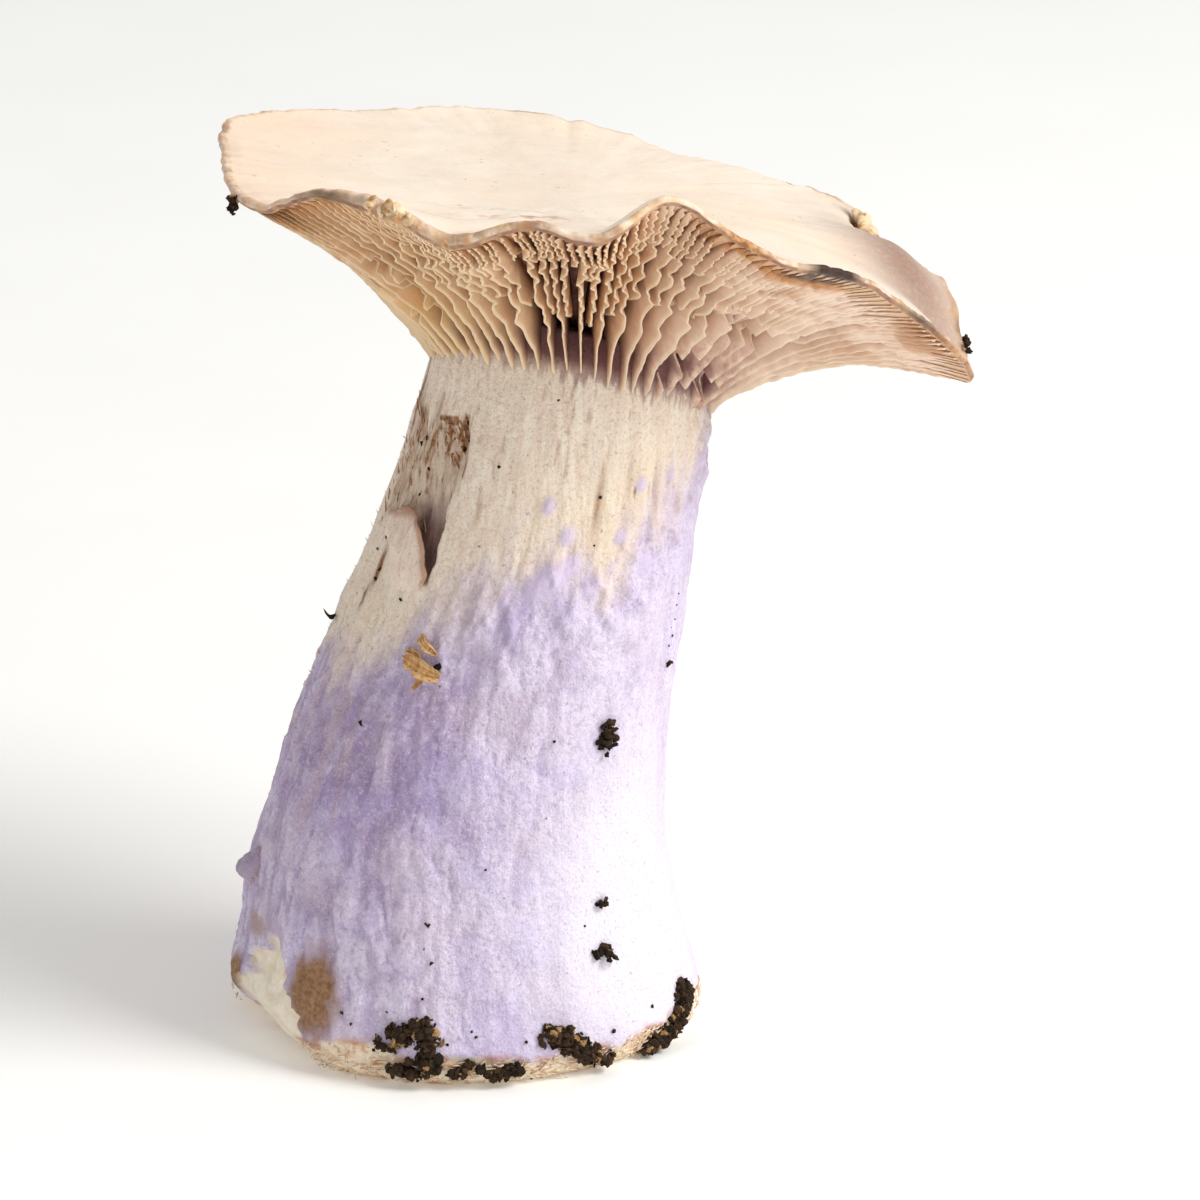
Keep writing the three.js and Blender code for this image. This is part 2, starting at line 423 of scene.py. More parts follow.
# %% Dressing a piece
def dress(piece, material, slot, *nodes):
    """Gives a piece its finish, lets it ride on the one body, and hides the parts of the frame that it
    stands for.
    """
    piece.data.materials.clear()
    piece.data.materials.append(material)
    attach(piece, "root")
    if nodes:
        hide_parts(*nodes)
    return piece

# %% [markdown]
# ## The stem
# The stem is a leaning column that swells into the foot. Its upper third is cream with fine upright
# fibres, and below a ragged border it is lilac under a white bloom. There are blisters, a knob, a
# torn patch, and a facet where a slice of skin came away at the foot. It could be sculpted by hand,
# but then no number of it could be changed later. Here each feature is a small function of height and
# compass angle. What changes the outline is added to the radius, what changes the colour is kept as a
# mark on the vertices, and only the finest grain is left to the material.

# %% Tables for the skin
# angle, height, width, rise of the blisters
BLISTERS = [
    (270, 54.5, 0.62, 0.32), (279, 51.7, 0.72, 0.36), (276, 47.9, 1.1, 0.5), (272, 47.0, 0.9, 0.3),
    (291, 46.9, 0.9, 0.4), (305, 55.8, 0.6, 0.2), (320, 55.9, 0.5, 0.25), (299, 51.2, 0.6, 0.22),
    (313, 48.3, 0.75, 0.3), (337, 52.2, 0.7, 0.35), (341, 56.1, 0.8, 0.7), (283, 49.0, 0.8, 0.3),
    (352, 54.0, 0.9, 0.4), (12, 50.0, 1.0, 0.35), (40, 46.0, 1.2, 0.35), (100, 49.0, 1.0, 0.3),
]
# angle, height, width, rise of the swellings under the lilac bloom, which keep the colour round them
SWELLINGS = [
    (314, 44.1, 0.8, 0.35), (303, 43.3, 0.8, 0.42), (295, 42.6, 0.8, 0.4), (311, 41.2, 0.8, 0.38),
    (286, 44.0, 1.0, 0.42), (298, 48.6, 0.7, 0.3), (306, 46.0, 0.7, 0.35), (322, 46.4, 0.8, 0.4),
    (328, 49.5, 0.7, 0.35), (281, 45.4, 1.0, 0.4), (268, 43.5, 0.8, 0.3), (291, 39.5, 0.9, 0.35),
    (277, 41.0, 0.8, 0.3), (301, 38.4, 0.8, 0.3), (318, 38.0, 0.8, 0.3), (263, 45.8, 0.6, 0.25),
]
# angle, height at which the cream ends and the lilac starts
LILAC_TOP = round_and_round(np.array([
    [20, 56.0], [60, 50.0], [110, 46.0], [150, 40.0], [180, 37.0], [205, 38.5], [221, 38.5],
    [236, 43.5], [250, 46.0], [273, 48.2], [290, 49.4], [313, 51.4], [328, 55.0], [341, 58.5],
]))
KNOB, KNOB_REACH = (189, 15.8), 19
SCAB = (228, 60.3)


print(len(BLISTERS), "blisters and", len(SWELLINGS), "swellings")

# %% Places where the skin is torn, cut or raised
def knob_away(height, angle):
    """How far a place is from the middle of the knob, in knob radii."""
    across = np.radians(turned_from(angle, KNOB[0])) * KNOB_REACH
    return np.hypot(across / 1.9, (height - KNOB[1] - 0.3 * across) / 1.6)


def facet_mask(height, angle):
    """Where a slice of skin is gone at the foot: between a rising left edge and a sharp right one."""
    right = 230.5 - 1.75 * np.clip(height - 2.5, 0, None)
    right += 1.1 * np.sin(1.5 * height) + 0.6 * np.sin(4.1 * height)
    left = 191 + 2.3 * np.clip(height - 3.0, 0, None)
    left += 3.5 * np.sin(1.9 * height + 1) + 1.5 * np.sin(4.6 * height)
    return ease(right - angle, 0, 0.8) * ease(angle - left, 0, 1.6) * ease(height, 11.6, 10.8)


def gap_mask(height, angle):
    """The wedge between the peeling strip and the skin, sunk in and darkened with painted shade: wide at
    the top, ending in a point.
    """
    right = 230.6 + 0.3 * (53 - height) + 0.5 * np.sin(2.1 * height)
    edge = ease(right - angle, 0, 0.9) * ease(angle, 213, 216)
    return edge * ease(height, 46.0, 47.2) * ease(height, 55.4, 50.6)


def worn_mask(height, angle):
    """The torn, fibrous patch above the strip, wrapped round to the left."""
    patch = spots(height, angle, (1, 205, 55.5, 6.4, 6), (0.9, 227, 58.5, 1.5, 3.2))
    ragged = cloudy(on_stem(height, angle, 0.8, 7), 17)
    return ease(patch + 0.35 * ragged, 0.28, 0.6)

# %% Marks for the skin's colours
def golden(height, angle):
    """A yellow tint in the cream: on the right below the collar, and in streaks on the left."""
    streaks = ease(cloudy(on_stem(height, angle, 1.2, 9), 38), -0.1, 0.5)
    patches = spots(height, angle, (1, 296, 51, 8, 6), (0.7, 320, 51, 4, 5), (0.35, 205, 42, 7, 6))
    return np.clip(patches * (0.35 + 0.75 * streaks), 0, 1)


def cut_height(angle):
    """How high the trimmed, tan band reaches at each angle."""
    wander = ring_noise(angle, 6, 9, 24)
    band = 2.7 + 1.3 * wander + 0.9 * hill(angle, 243, 14)
    return band * (1 - 0.85 * hill(angle, 203, 17))


def deep_lilac_and_shade(height, angle):
    """Where the lilac is strongest: the left of the stem, from a fifth to a half of the way up, with
    painted shade along the left outline near the foot.
    """
    cloud = cloudy(on_stem(height, angle, 5, 6), 25)
    # the patch at 179 degrees, 7 mm up, is painted shade along the left outline
    patches = spots(
        height, angle, (0.9, 222, 30, 8, 6.3), (1.1, 243, 28, 6, 7), (0.42, 196, 26, 7, 12),
        (0.6, 256, 34, 4, 5), (0.7, 179, 7, 2.5, 5), (0.5, 242, 17.5, 5, 1.6), (0.45, 230, 14.5, 1.8, 3),
        (0.45, 270, 24, 3.5, 2.5), (0.75, 120, 26, 16, 12), (0.5, 60, 30, 12, 14))
    return np.clip(patches + 0.35 * cloud * ease(patches, 0.05, 0.4), 0, 1)


def bleached(height, angle):
    """Where the lilac is white on the right of the foot: faded there, and painted highlight where the
    window light falls on it most.
    """
    cloud = cloudy(on_stem(height, angle, 6, 8), 26)
    faded = spots(height, angle, (1, 322, 18, 8, 14), (1, 338, 8, 9, 9))
    return np.clip(faded + 0.35 * cloud * ease(faded, 0.05, 0.3), 0, 1)


def stain(height, angle):
    """A brown stain beside the facet, and smaller ones above it and on its other side."""
    rough = cloudy(on_stem(height, angle, 1.0, 1.4), 39)
    beside = ease(spot(height, angle, (231, 7.4), (3.0, 5.2)) + 0.16 * rough, 0.26, 0.8)
    above = 0.6 * ease(spot(height, angle, (202, 11.4), (2.6, 1.3)) + 0.3 * rough, 0.2, 0.8)
    across = ease(spot(height, angle, (193, 5.6), (1.6, 2.2)) + 0.2 * rough, 0.25, 0.7)
    return np.clip(beside + above + across, 0, 1)


def brown(height, angle):
    """Stains in the worn patch, at the scab and in streaks down the cream, with painted shade in the slit
    beside the strip and in the crease round the knob.
    """
    streaks = ease(cloudy(on_stem(height, angle, 0.7, 7), 27), 0.18, 0.55)
    rough = 0.8 * cloudy(on_stem(height, angle, 1.0, 1.4), 39)
    scab = 1.2 * ease(spot(height, angle, SCAB, (0.8, 1.7)) + 0.5 * rough, 0.35, 0.6)
    scab += ease(spot(height, angle, (219, 61.0), (1.8, 0.4)) + 0.3 * rough, 0.4, 0.6)
    line = spots(height, angle, (1.1, 288.5, 54.5, 0.45, 3), (0.7, 244, 53.6, 0.3, 1.5),
                 (0.6, 313, 54.5, 0.4, 3), (0.5, 300, 57, 0.35, 2.5))
    line += 0.55 * ease(cloudy(on_stem(height, angle, 0.4, 2.4), 53, 2), 0.42, 0.62) * ease(height, 47, 52)
    line *= 0.45 + 0.75 * streaks
    # painted shade: the slit beside the strip, and the crease round the knob
    slit = spots(height, angle, (1, 205.5, 46.4, 0.45, 1.5), (0.7, 203.5, 43.4, 0.3, 1))
    painted_shade_round_knob = 0.5 * hill(knob_away(height, angle), 1.15, 0.14) * ease(angle, 186, 192)
    torn = worn_mask(height, angle) * ease(cloudy(on_stem(height, angle, 0.45, 1.5), 27, 2), 0.1, 0.45)
    torn += 0.8 * spot(height, angle, (185, 62.0), (0.9, 3.6))
    return np.clip(scab + torn + line + 1.3 * slit + painted_shade_round_knob, 0, 1)


high, all_round = np.mgrid[0:62, 0:360].astype(float)
print("share of the stem: torn", worn_mask(high, all_round).mean().round(3), end=", ")
print("facet", facet_mask(high, all_round).mean().round(3), "stained", stain(high, all_round).mean().round(3))

# %% Relief of the skin
def wrinkles(height, angle):
    """Long upright folds: soft swells, with narrow valleys where a second noise crosses zero."""
    slant = angle + 0.35 * (height - 25)
    folds = cloudy(on_stem(height, slant, 1.7, 5.5), 14, 2)
    valleys = hill(cloudy(on_stem(height, slant, 2.2, 6.0), 18), 0, 0.10)
    pits = hill(cloudy(on_stem(height, angle, 1.5, 1.9), 19), 0, 0.10)
    left = 0.5 + 0.5 * cos(angle - 210)
    return 0.8 * folds - lerp(0.12, 0.5, left**2) * valleys - 0.3 * pits


def warts(height, angle):
    """Round swellings crowded along the border between cream and lilac."""
    bumps = ease(cloudy(on_stem(height, angle, 1.2, 1.7), 20, 2), -0.1, 0.5)
    border = through(LILAC_TOP, angle % 360)[0]
    return bumps * ease(height, border - 13, border - 3) * ease(height, border + 3.5, border - 0.5)


def stem_relief(height, angle):
    """How far the skin stands out, in mm: broad swells, upright folds, blisters, knob and tears."""
    fibres = cloudy(on_stem(height, angle, 0.6, 9), 11) + 0.6 * cloudy(on_stem(height, angle, 0.35, 5), 12, 2)
    mealy = cloudy(on_stem(height, angle, 0.8, 0.9), 13, 2)
    swells = cloudy(on_stem(height, angle, 7, 10), 15)
    upper = ease(height, 38, 50)
    left = 0.5 + 0.5 * cos(angle - 215)
    smooth_right = 1 - 0.75 * bleached(height, angle)
    relief = 0.42 * swells * ease(height, 68, 58) * ease(height, 0, 6)
    folded = lerp(lerp(0.15, 0.5, left**2), 0.05, upper) * ease(height, 1, 8) * smooth_right
    relief += wrinkles(height, angle) * folded
    relief += fibres * lerp(0.04, 0.075, upper) + mealy * lerp(0.12, 0.045, upper) * smooth_right
    relief += 0.6 * warts(height, angle) * (0.5 + 0.5 * cos(angle - 310))
    for *place, width, rise in BLISTERS + SWELLINGS:
        relief += 1.3 * rise * spot(height, angle, place, (1.25 * width, 1.25 * width))
    relief += 1.2 * ease(knob_away(height, angle), 1.15, 0.5)
    relief += 0.24 * cloudy(on_stem(height, angle, 3.0, 3.8), 7, 2) * ease(height, 2, 7)
    relief += spots(
        height, angle, (0.5, 181, 14.5, 3.5, 3), (0.5, 252, 14.5, 3.4, 3), (-0.3, 262, 18.5, 3, 1.2))
    torn = worn_mask(height, angle)
    relief += torn * (0.36 * cloudy(on_stem(height, angle, 0.6, 5), 16) - 0.4)
    relief -= 1.1 * gap_mask(height, angle)
    relief -= facet_mask(height, angle) * (0.75 + 0.1 * cloudy(on_stem(height, angle, 1.6, 1.6), 29, 2))
    return relief


relief_sample = stem_relief(high, all_round)
print("the skin stands out by", relief_sample.min().round(2), "to", relief_sample.max().round(2), "mm")

# %% The stem's surface
STEM_COLUMNS = 470
STEM_ROWS = 200


def make_stem():
    """Rows go from a point inside the cap out to the stem's skin, down to the foot's edge, and in
    along the cut to the foot's middle."""
    angle = np.arange(STEM_COLUMNS)[None, :] * 360 / STEM_COLUMNS
    top = collar_height(angle) + 3.5
    height = lerp(0.0, top, 1 - np.linspace(0, 1, STEM_ROWS)[:, None])
    relief = stem_relief(height, angle)
    skin = stem_point(height, angle, relief)
    band = cut_height(angle)
    below = ease(height, band + 0.3, band - 0.3)
    fringe = cloudy(on_stem(height, angle, 1.1, 0.6), 21)
    tuck = below * (0.35 + 0.45 * fringe) + ease(height, 1.3, 0) * 0.3
    tuck = tuck + 3.2 * np.clip(1 - height / 4.6, 0, 1) * hill(angle, 200, 22)
    skin[..., :2] -= (skin[..., :2] - [0.3, 0]) / 21 * tuck[..., None]
    rings = np.array([0.97, 0.9, 0.78, 0.62, 0.45, 0.27, 0.12, 0])[:, None, None]
    edge = skin[-1:]
    middle = np.array([0.3, 0, 0])
    cut = middle + (edge - middle) * rings
    cut[..., 2] = 0.10 * (1 + cloudy(cut / 1.5, 22)) * ease(rings[..., 0], 1, 0.9)
    cut[-1, :, 2] = 0.1
    crown_middle = np.array([11.0, 0, 69.0])
    crown = crown_middle + (skin[:1] - crown_middle) * np.array([0, 0.5])[:, None, None]
    points = np.concatenate([crown, skin, cut])
    height_all = points[..., 2]
    angle_all = np.broadcast_to(angle, height_all.shape)
    border = through(LILAC_TOP, angle)[0]
    ragged = cloudy(on_stem(height_all, angle_all, 1.6, 5.0), 23)
    patchy = cloudy(on_stem(height_all, angle_all, 4.0, 6.0), 30)
    collar_rag = cloudy(on_stem(height_all, angle_all, 0.5, 3.0), 37)
    right_side = ease(cos(angle - 300), 0.2, 0.9)
    fill = [0 * crown[..., 0], 0 * cut[..., 0]]
    marks = {
        "lilac": ease(border - height_all + lerp(1.8, 4.0, right_side) * ragged + 5.0 * patchy, -5.0, 5.5),
        "deep_lilac_and_shade": deep_lilac_and_shade(height_all, angle_all),
        # faded lilac and painted highlight, white on the right of the foot
        "bleached": bleached(height_all, angle_all),
        "cut": np.concatenate([fill[0], below, 1 + fill[1]]),
        "fringe": hill(height_all, band + 0.1, 0.45)
        * ease(cloudy(on_stem(height_all, angle_all, 1.6, 1.2), 54, 2), -0.15, 0.3),
        "flesh": facet_mask(height_all, angle_all),
        "brown": brown(height_all, angle_all),
        # painted shade in the gap behind the peeling strip
        "gap": gap_mask(height_all, angle_all),
        "worn": worn_mask(height_all, angle_all),
        "blister": sum(spot(height_all, angle_all, b[:2], (1.35 * b[2], 1.35 * b[2])) for b in BLISTERS)
        + sum(0.4 * spot(height_all, angle_all, b[:2], (b[2], b[2])) for b in SWELLINGS),
        "stain": stain(height_all, angle_all),
        "knob": ease(knob_away(height_all, angle_all), 1.1, 0.7),
        "warm": ease(cloudy(on_stem(height_all, angle_all, 0.9, 8), 52), 0.0, 0.5)
        * ease(cos(angle_all - 205), 0.55, 0.95) * ease(height_all, 16, 26),
        # painted shade: the stem's top under the gills, at the collar and between the gills' roots
        "collar": ease(height_all - collar_height(angle_all) + 1.6 * collar_rag, -1.0, -0.1)
        * lerp(0.4, 1.0, hill(angle_all, 288, 34)),
        "shade_between_gills": ease(height_all - collar_height(angle_all) + 0.4 * collar_rag, 0.0, 1.2),
        # painted shade: the wrinkles' value, low in the valleys of the folds, more on the left
        "folds": np.concatenate([fill[0], wrinkles(height, angle), fill[1]])
        * (0.65 + 0.35 * cos(angle - 210)),
        "golden": golden(height_all, angle_all),
    }
    return round_grid("stem", points, marks)


stem = make_stem()

# %% [markdown]
# ## The stem's skin
# The colours follow the marks painted above: cream, then lilac, white on the right of the foot
# where it is faded and has a painted highlight, and stronger on the left. A white bloom lies over the
# lilac in fine flecks. Painted shade darkens the valleys of the folds, the gap behind the peeling
# strip, the slit, the crease round the knob, the left outline near the foot, and the stem's top under
# the gills. Light goes a little way into fresh flesh, so the shader has some subsurface scattering.

# %% Stem finish
def stem_finish():
    skin = Finish(
        "stem_skin", 0.62, Subsurface_Weight=0.12, Subsurface_Radius=(1.0, 0.6, 0.6),
        Subsurface_Scale=0.8 * MM, Specular_IOR_Level=0.28, Sheen_Weight=0.06, Sheen_Roughness=0.5,
    )
    upright = skin.stretch((1, 1, 0.1))
    fibre = skin.noise(0.7, 5, upright)
    fine = skin.noise(0.3, 3, upright)
    mottle = skin.noise(2.6, 6)
    meal = skin.noise(0.45, 5)
    grains = skin.noise(0.22, 3)
    cast = skin.noise(7, 3)
    cream = skin.ramp(fibre, 0.3, 0.7, (248, 235, 219), (236, 217, 198))
    cream = skin.coats(
        cream,
        (fine, 0.56, 0.7, (196, 162, 130), 0.25),
        (meal, 0.48, 0.3, (200, 168, 144), 0.4),
        (grains, 0.44, 0.28, (182, 142, 116), 0.5),
        (grains, 0.56, 0.72, (254, 247, 238), 0.4),
    )
    freckle = skin.span(skin.noise(0.55, 2), 0.67, 0.73)
    cream = skin.tint(cream, skin.mark("golden"), (240, 214, 168), 0.7)
    worn = skin.ramp(fibre, 0.4, 0.6, (206, 184, 160), (160, 124, 96))
    cream = skin.tint(cream, skin.mark("worn"), worn, 0.6)
    # the deep lilac mark: stronger lilac on the left, and painted shade along the left outline near the foot
    lilac = skin.mix(skin.mark("deep_lilac_and_shade"), (214, 201, 226), (167, 142, 186))
    lilac = skin.coats(
        lilac,
        (mottle, 0.35, 0.75, (236, 228, 244), 0.45),
        (meal, 0.42, 0.7, (244, 238, 250), 0.3),
        (meal, 0.5, 0.3, (168, 146, 186), 0.3),
        (skin.noise(0.9, 4), 0.36, 0.24, (158, 140, 166), 0.4),
        # painted shade in the valleys of the folds
        (skin.mark("folds"), 0.05, -0.5, (156, 134, 172), 0.5),
        (cast, 0.5, 0.66, (190, 176, 224), 0.3),
        (cast, 0.5, 0.34, (212, 194, 206), 0.35),
    )
    lilac = skin.tint(lilac, skin.mark("warm"), (196, 168, 166), 0.4)
    # white on the right of the foot: faded lilac, with painted highlight where the window light falls
    lilac = skin.mix(skin.mark("bleached"), lilac, (234, 228, 240))
    lilac = skin.coats(
        lilac,
        (grains, 0.45, 0.28, (160, 138, 178), 0.45),
        (grains, 0.55, 0.72, (250, 246, 255), 0.4),
    )
    colour = skin.mix(skin.mark("lilac"), cream, lilac)
    colour = skin.tint(colour, freckle, (146, 106, 96), 0.4)
    blister = skin.mark("blister")
    dome = skin.ramp(blister, 0.3, 0.9, (206, 190, 222), (216, 200, 232))
    colour = skin.tint(colour, skin.span(blister, 0.05, 0.8), dome, 0.75)
    nub = skin.ramp(meal, 0.3, 0.7, (176, 162, 178), (148, 130, 152))
    colour = skin.tint(colour, skin.mark("knob"), nub, 0.7)
    # the brown mark: stains, with painted shade in the slit and in the crease round the knob
    stain = skin.math("MULTIPLY", skin.mark("brown"), skin.span(skin.noise(0.9, 5), 0.15, 0.45))
    stain = skin.math("MULTIPLY", stain, 1.5, True)
    colour = skin.mix(stain, colour, skin.ramp(meal, 0.35, 0.65, (172, 126, 86), (104, 66, 42)))
    patch = skin.ramp(meal, 0.3, 0.7, (170, 130, 94), (132, 96, 68))
    colour = skin.mix(skin.mark("stain"), colour, patch)
    flesh = skin.ramp(skin.noise(1.3, 5), 0.3, 0.7, (238, 222, 198), (252, 244, 228))
    colour = skin.mix(skin.mark("flesh"), colour, flesh)
    trimmed = skin.ramp(skin.noise(0.9, 5), 0.46, 0.7, (255, 240, 216), (212, 156, 104))
    trimmed = skin.ramp(skin.noise(0.5, 4), 0.62, 0.75, trimmed, (132, 82, 50))
    colour = skin.mix(skin.mark("cut"), colour, trimmed)
    colour = skin.tint(colour, skin.mark("fringe"), (180, 114, 66), 0.85)
    # painted shade in the gap behind the peeling strip
    painted_gap_shade = skin.ramp(fibre, 0.3, 0.7, (138, 104, 98), (98, 66, 62))
    colour = skin.tint(colour, skin.mark("gap"), painted_gap_shade, 0.9)
    # painted shade under the gills: at the collar, and darker between the gills' roots
    colour = skin.tint(colour, skin.mark("collar"), (134, 90, 90), 0.75)
    colour = skin.tint(colour, skin.mark("shade_between_gills"), (116, 68, 70), 0.85)
    grain = skin.bump(grains, 0.07)
    grain = skin.bump(meal, 0.17, grain)
    grain = skin.bump(skin.noise(1.0, 3), 0.14, grain)
    return skin.done(colour, skin.bump(fibre, 0.10, grain))


dress(stem, stem_finish(), "mushroom_flesh", "mushroom")

# %% [markdown]
# ## The cap
# The cap is a saucer whose margin waves, lifts at the front and droops into a spout at the right. One
# closed surface makes it: from the middle of the upper skin out to the margin, round its edge, and
# back in along the roof from which the gills hang. A spun profile would be quicker, but it is the same
# all round, so reach and height are read from the margin's table at every angle instead.

# %% Where the gills hang
GILL_DEPTH = 4.6
CAP_COLUMNS = 720


def margin_thickness(angle):
    """The margin is thin, with thick rolled lips at the front left."""
    lips = hill(angle, 238, 7) + 0.8 * hill(angle, 252, 8)
    return 0.85 + 0.75 * lips + 0.3 * hill(angle, 276, 8)


def margin_ring(angle):
    """Reach and height of the middle of the margin's rounded edge, and its radius."""
    reach, height = through(MARGIN_ROUND, angle % 360)
    nibble = ring_noise(angle, 22, 40, 31)
    half = margin_thickness(angle) / 2
    fold = 0.8 * hill(angle, 14, 6) - 0.9 * hill(angle, 29, 6)
    return reach - half + 0.28 * nibble + 0.7 * fold, height + 0.22 * nibble + fold, half


def gill_edge(share, angle):
    """The surface that the gills' free edges make: from the collar, share 0, straight to the
    underside of the margin, share 1, and bowed up between them."""
    reach, height, half = margin_ring(angle)
    rim = cap_point(reach, angle, height - half)
    collar = stem_point(collar_height(angle), angle)
    share = np.asarray(share)[..., None]
    point = collar + (rim - collar) * share
    spout = np.clip(cos(angle), 0, 1) ** 2
    point[..., 2] += ((GILL_ARCH + GILL_ARCH_SPOUT * spout)[..., None] * np.sin(np.pi * share))[..., 0]
    return point


def gill_up(angle):
    """The direction from the gills' edges to their roots: square to the line from collar to margin."""
    along = gill_edge(np.ones_like(angle), angle) - gill_edge(np.zeros_like(angle), angle)
    run = along[..., 0] * cos(angle) + along[..., 1] * sin(angle)
    length = np.hypot(run, along[..., 2])
    inward = -along[..., 2] / length
    return together(inward * cos(angle), inward * sin(angle), run / length), length


def gill_depth(share, angle):
    """The gills' depth: most at the stem, nothing at the margin, less on the left, and soon little
    towards the spout."""
    left = 0.42 * hill(angle, 208, 24)
    thinning = 0.7 + 0.9 * ease(cos(angle - 350), 0.6, 0.9)
    fold = 0.3 * hill(angle, 290, 12) * ease(share, 0.55, 0.85)
    return GILL_DEPTH * np.clip(1 - share, 0, 1) ** thinning * (1 - left) * (1 - fold)


def gill_roof(share, angle):
    """The surface that the gills hang from: their edges, moved back by their depth."""
    up, _ = gill_up(angle)
    return gill_edge(share, angle) + up * gill_depth(share, angle)[..., None]


print("gills are", GILL_DEPTH, "mm deep at the stem, and the margin is",
      margin_thickness(np.array(0.0)).round(2), "mm thick at the spout")

# %% The cap's surface
def cap_top(share, angle):
    """The upper skin: a dish towards the calmed margin, with the margin's waves added late."""
    reach, height, half = margin_ring(angle)
    calm = calm_height(angle)
    dish = (calm + half - CAP_MIDDLE_Z) * share**CAP_DISH
    wave = (height - calm) * share**WAVE_REACH
    x, y = CAP_X + reach * share * cos(angle), reach * share * sin(angle)
    place = together(x, y, 0 * x)
    relief = 0.5 * cloudy(place / 13 + 7, 32) + 0.10 * cloudy(place / 2.5 + 7, 33)
    relief += 0.9 * np.exp(-(((x - 11.5) / 3.2) ** 2) - (((y + 19.0) / 6.5) ** 2))
    relief -= 0.5 * np.exp(-(((y + 10 + 0.15 * x) / 1.8) ** 2) - (((x - 6) / 9) ** 2))
    relief += 1.3 * hill(turned_from(angle, 16), 0, 20) * ease(share, 0.55, 0.86) * ease(share, 1.0, 0.86)
    relief += 1.2 * hill(angle, 289, 11) * ease(share, 0.68, 0.86) * ease(share, 1.0, 0.93)
    relief *= ease(share, 0, 0.1) * ease(share, 1.0, 0.95)
    relief -= notch(x, y) * 1.1
    return together(x, y, CAP_MIDDLE_Z + dish + wave + relief)


def notch(x, y):
    """The bite out of the back margin at the right: a crescent."""
    away = np.hypot((x - CAP_X - 33.3 * cos(32)) / 1.7, (y - 33.3 * sin(32)) / 2.6)
    return ease(away, 1.05, 0.75)


def make_cap():
    """Rows: the upper skin outwards, half a circle round the margin, the roof inwards, and a point."""
    angle = np.arange(CAP_COLUMNS)[None, :] * 360 / CAP_COLUMNS
    share = np.sin(np.linspace(0, np.pi / 2, 88))[:, None] ** 0.9
    skin = cap_top(share, angle)
    reach, height, half = margin_ring(angle)
    turn = np.radians(np.linspace(90, -90, 11))[1:-1, None]
    out = reach + half * np.cos(turn)
    edge = cap_point(out, angle, height + half * np.sin(turn))
    inwards = np.linspace(1, 0, 30)[:, None] * np.ones_like(angle)
    roof = gill_roof(inwards, angle * np.ones_like(inwards))
    middle = np.array([11.0, 0, 68.0])
    neck = middle + (roof[-1:] - middle) * np.array([0.6, 0])[:, None, None]
    points = np.concatenate([skin, edge, roof, neck])
    rows = len(points)
    underside = np.zeros((rows, 1))
    underside[len(skin) + 5:] = 1
    # rim_under: where the painted shade on the roof between the gills gives way, near the margin
    rim_under = np.zeros((rows, CAP_COLUMNS))
    start = lerp(0.7, 0.25, ease(cos(angle - 350), 0.6, 0.9))
    rim_under[len(skin) + 9:len(skin) + 9 + len(inwards)] = ease(inwards, start, start + 0.22)
    edging = np.zeros((rows, 1))
    edging[:len(skin)] = ease(share, 0.982, 0.997)
    edging[len(skin):len(skin) + 9] = 1
    whole = np.broadcast_to(angle, points.shape[:2])
    x, y = points[..., 0], points[..., 1]
    marks = {
        "underside": underside,
        "edging": edging * margin_browning(whole),
        "bruise": bruises(points, x, y),
        "rust": edge_spot(points, 299, 4.5, 1.0) + 0.5 * edge_spot(points, 350, 11, 0.5)
        + 0.8 * edge_spot(points, 243, 6, 1.1) + 0.7 * edge_spot(points, 28, 10, 0.5) + notch(x, y),
        "crease": crease(x, y) * (1 - underside),
        "blush": blush(x, y) * (1 - underside),
        # painted shade on the right lobe, where the cap turns away from the light
        "shade": hill(x + 0.25 * (y - 6), 41.5, 6.4) * hill(y, 5.5, 11) * (1 - underside),
        "rim_under": rim_under,
    }
    return round_grid("cap", points, marks)

# %% Marks on the cap
def bruises(points, x, y):
    """Where the margin is darkened: bruises under the front right fold and along the spout, and
    painted shadow under the lip in the notch.
    """
    folds = 1.5 * edge_spot(points, 315.5, 5.0, 0.9) + 0.75 * edge_spot(points, 337, 5.5, 0.35)
    inwards = margin_reach(points) - np.hypot(x - CAP_X, y)
    angle = np.degrees(np.arctan2(y, x - CAP_X))
    lip_shadow = 1.2 * np.exp(-(((inwards - 1.6) / 0.5) ** 2) - ((angle - 34.0) / 2.9) ** 2)
    return folds + 0.7 * edge_spot(points, 230, 5, 0.3) + lip_shadow + 0.6 * edge_spot(points, 8, 1.5, 0.4)


def margin_reach(points):
    """How far out the margin is at each point's angle."""
    angle = np.degrees(np.arctan2(points[..., 1], points[..., 0] - CAP_X))
    reach, _, half = margin_ring(angle % 360)
    return reach + half


def margin_browning(angle):
    """How brown the margin's edge is: always a little, and more in patches."""
    patches = ring_noise(angle, 9, 20, 34)
    return 0.45 + 0.55 * ease(patches, -0.3, 0.4)


def edge_spot(points, at, wide, deep):
    """A patch on the margin at an angle: wide degrees across, deep mm in from the edge."""
    x, y = points[..., 0] - CAP_X, points[..., 1]
    angle = np.degrees(np.arctan2(y, x))
    inwards = margin_reach(points) - np.hypot(x, y)
    return hill(turned_from(angle, at), 0, wide) * ease(inwards, deep * 1.6, 0)


def crease(x, y):
    """Faint fold lines across the middle of the front."""
    wave = cloudy(together(x / 7, y / 0.9, 0 * x + 3), 35)
    return ease(wave, 0.05, 0.45) * np.exp(-(((x - 6) / 8) ** 2) - (((y + 11) / 4.5) ** 2))


def blush(x, y):
    """A peach tint at the left end and in slow clouds elsewhere."""
    cloud = cloudy(together(x / 16, y / 16, 0 * x + 9), 36)
    return np.clip(ease(x, -6, -22) * 0.9 + 0.45 * ease(cloud, -0.2, 0.6), 0, 1)


cap = make_cap()
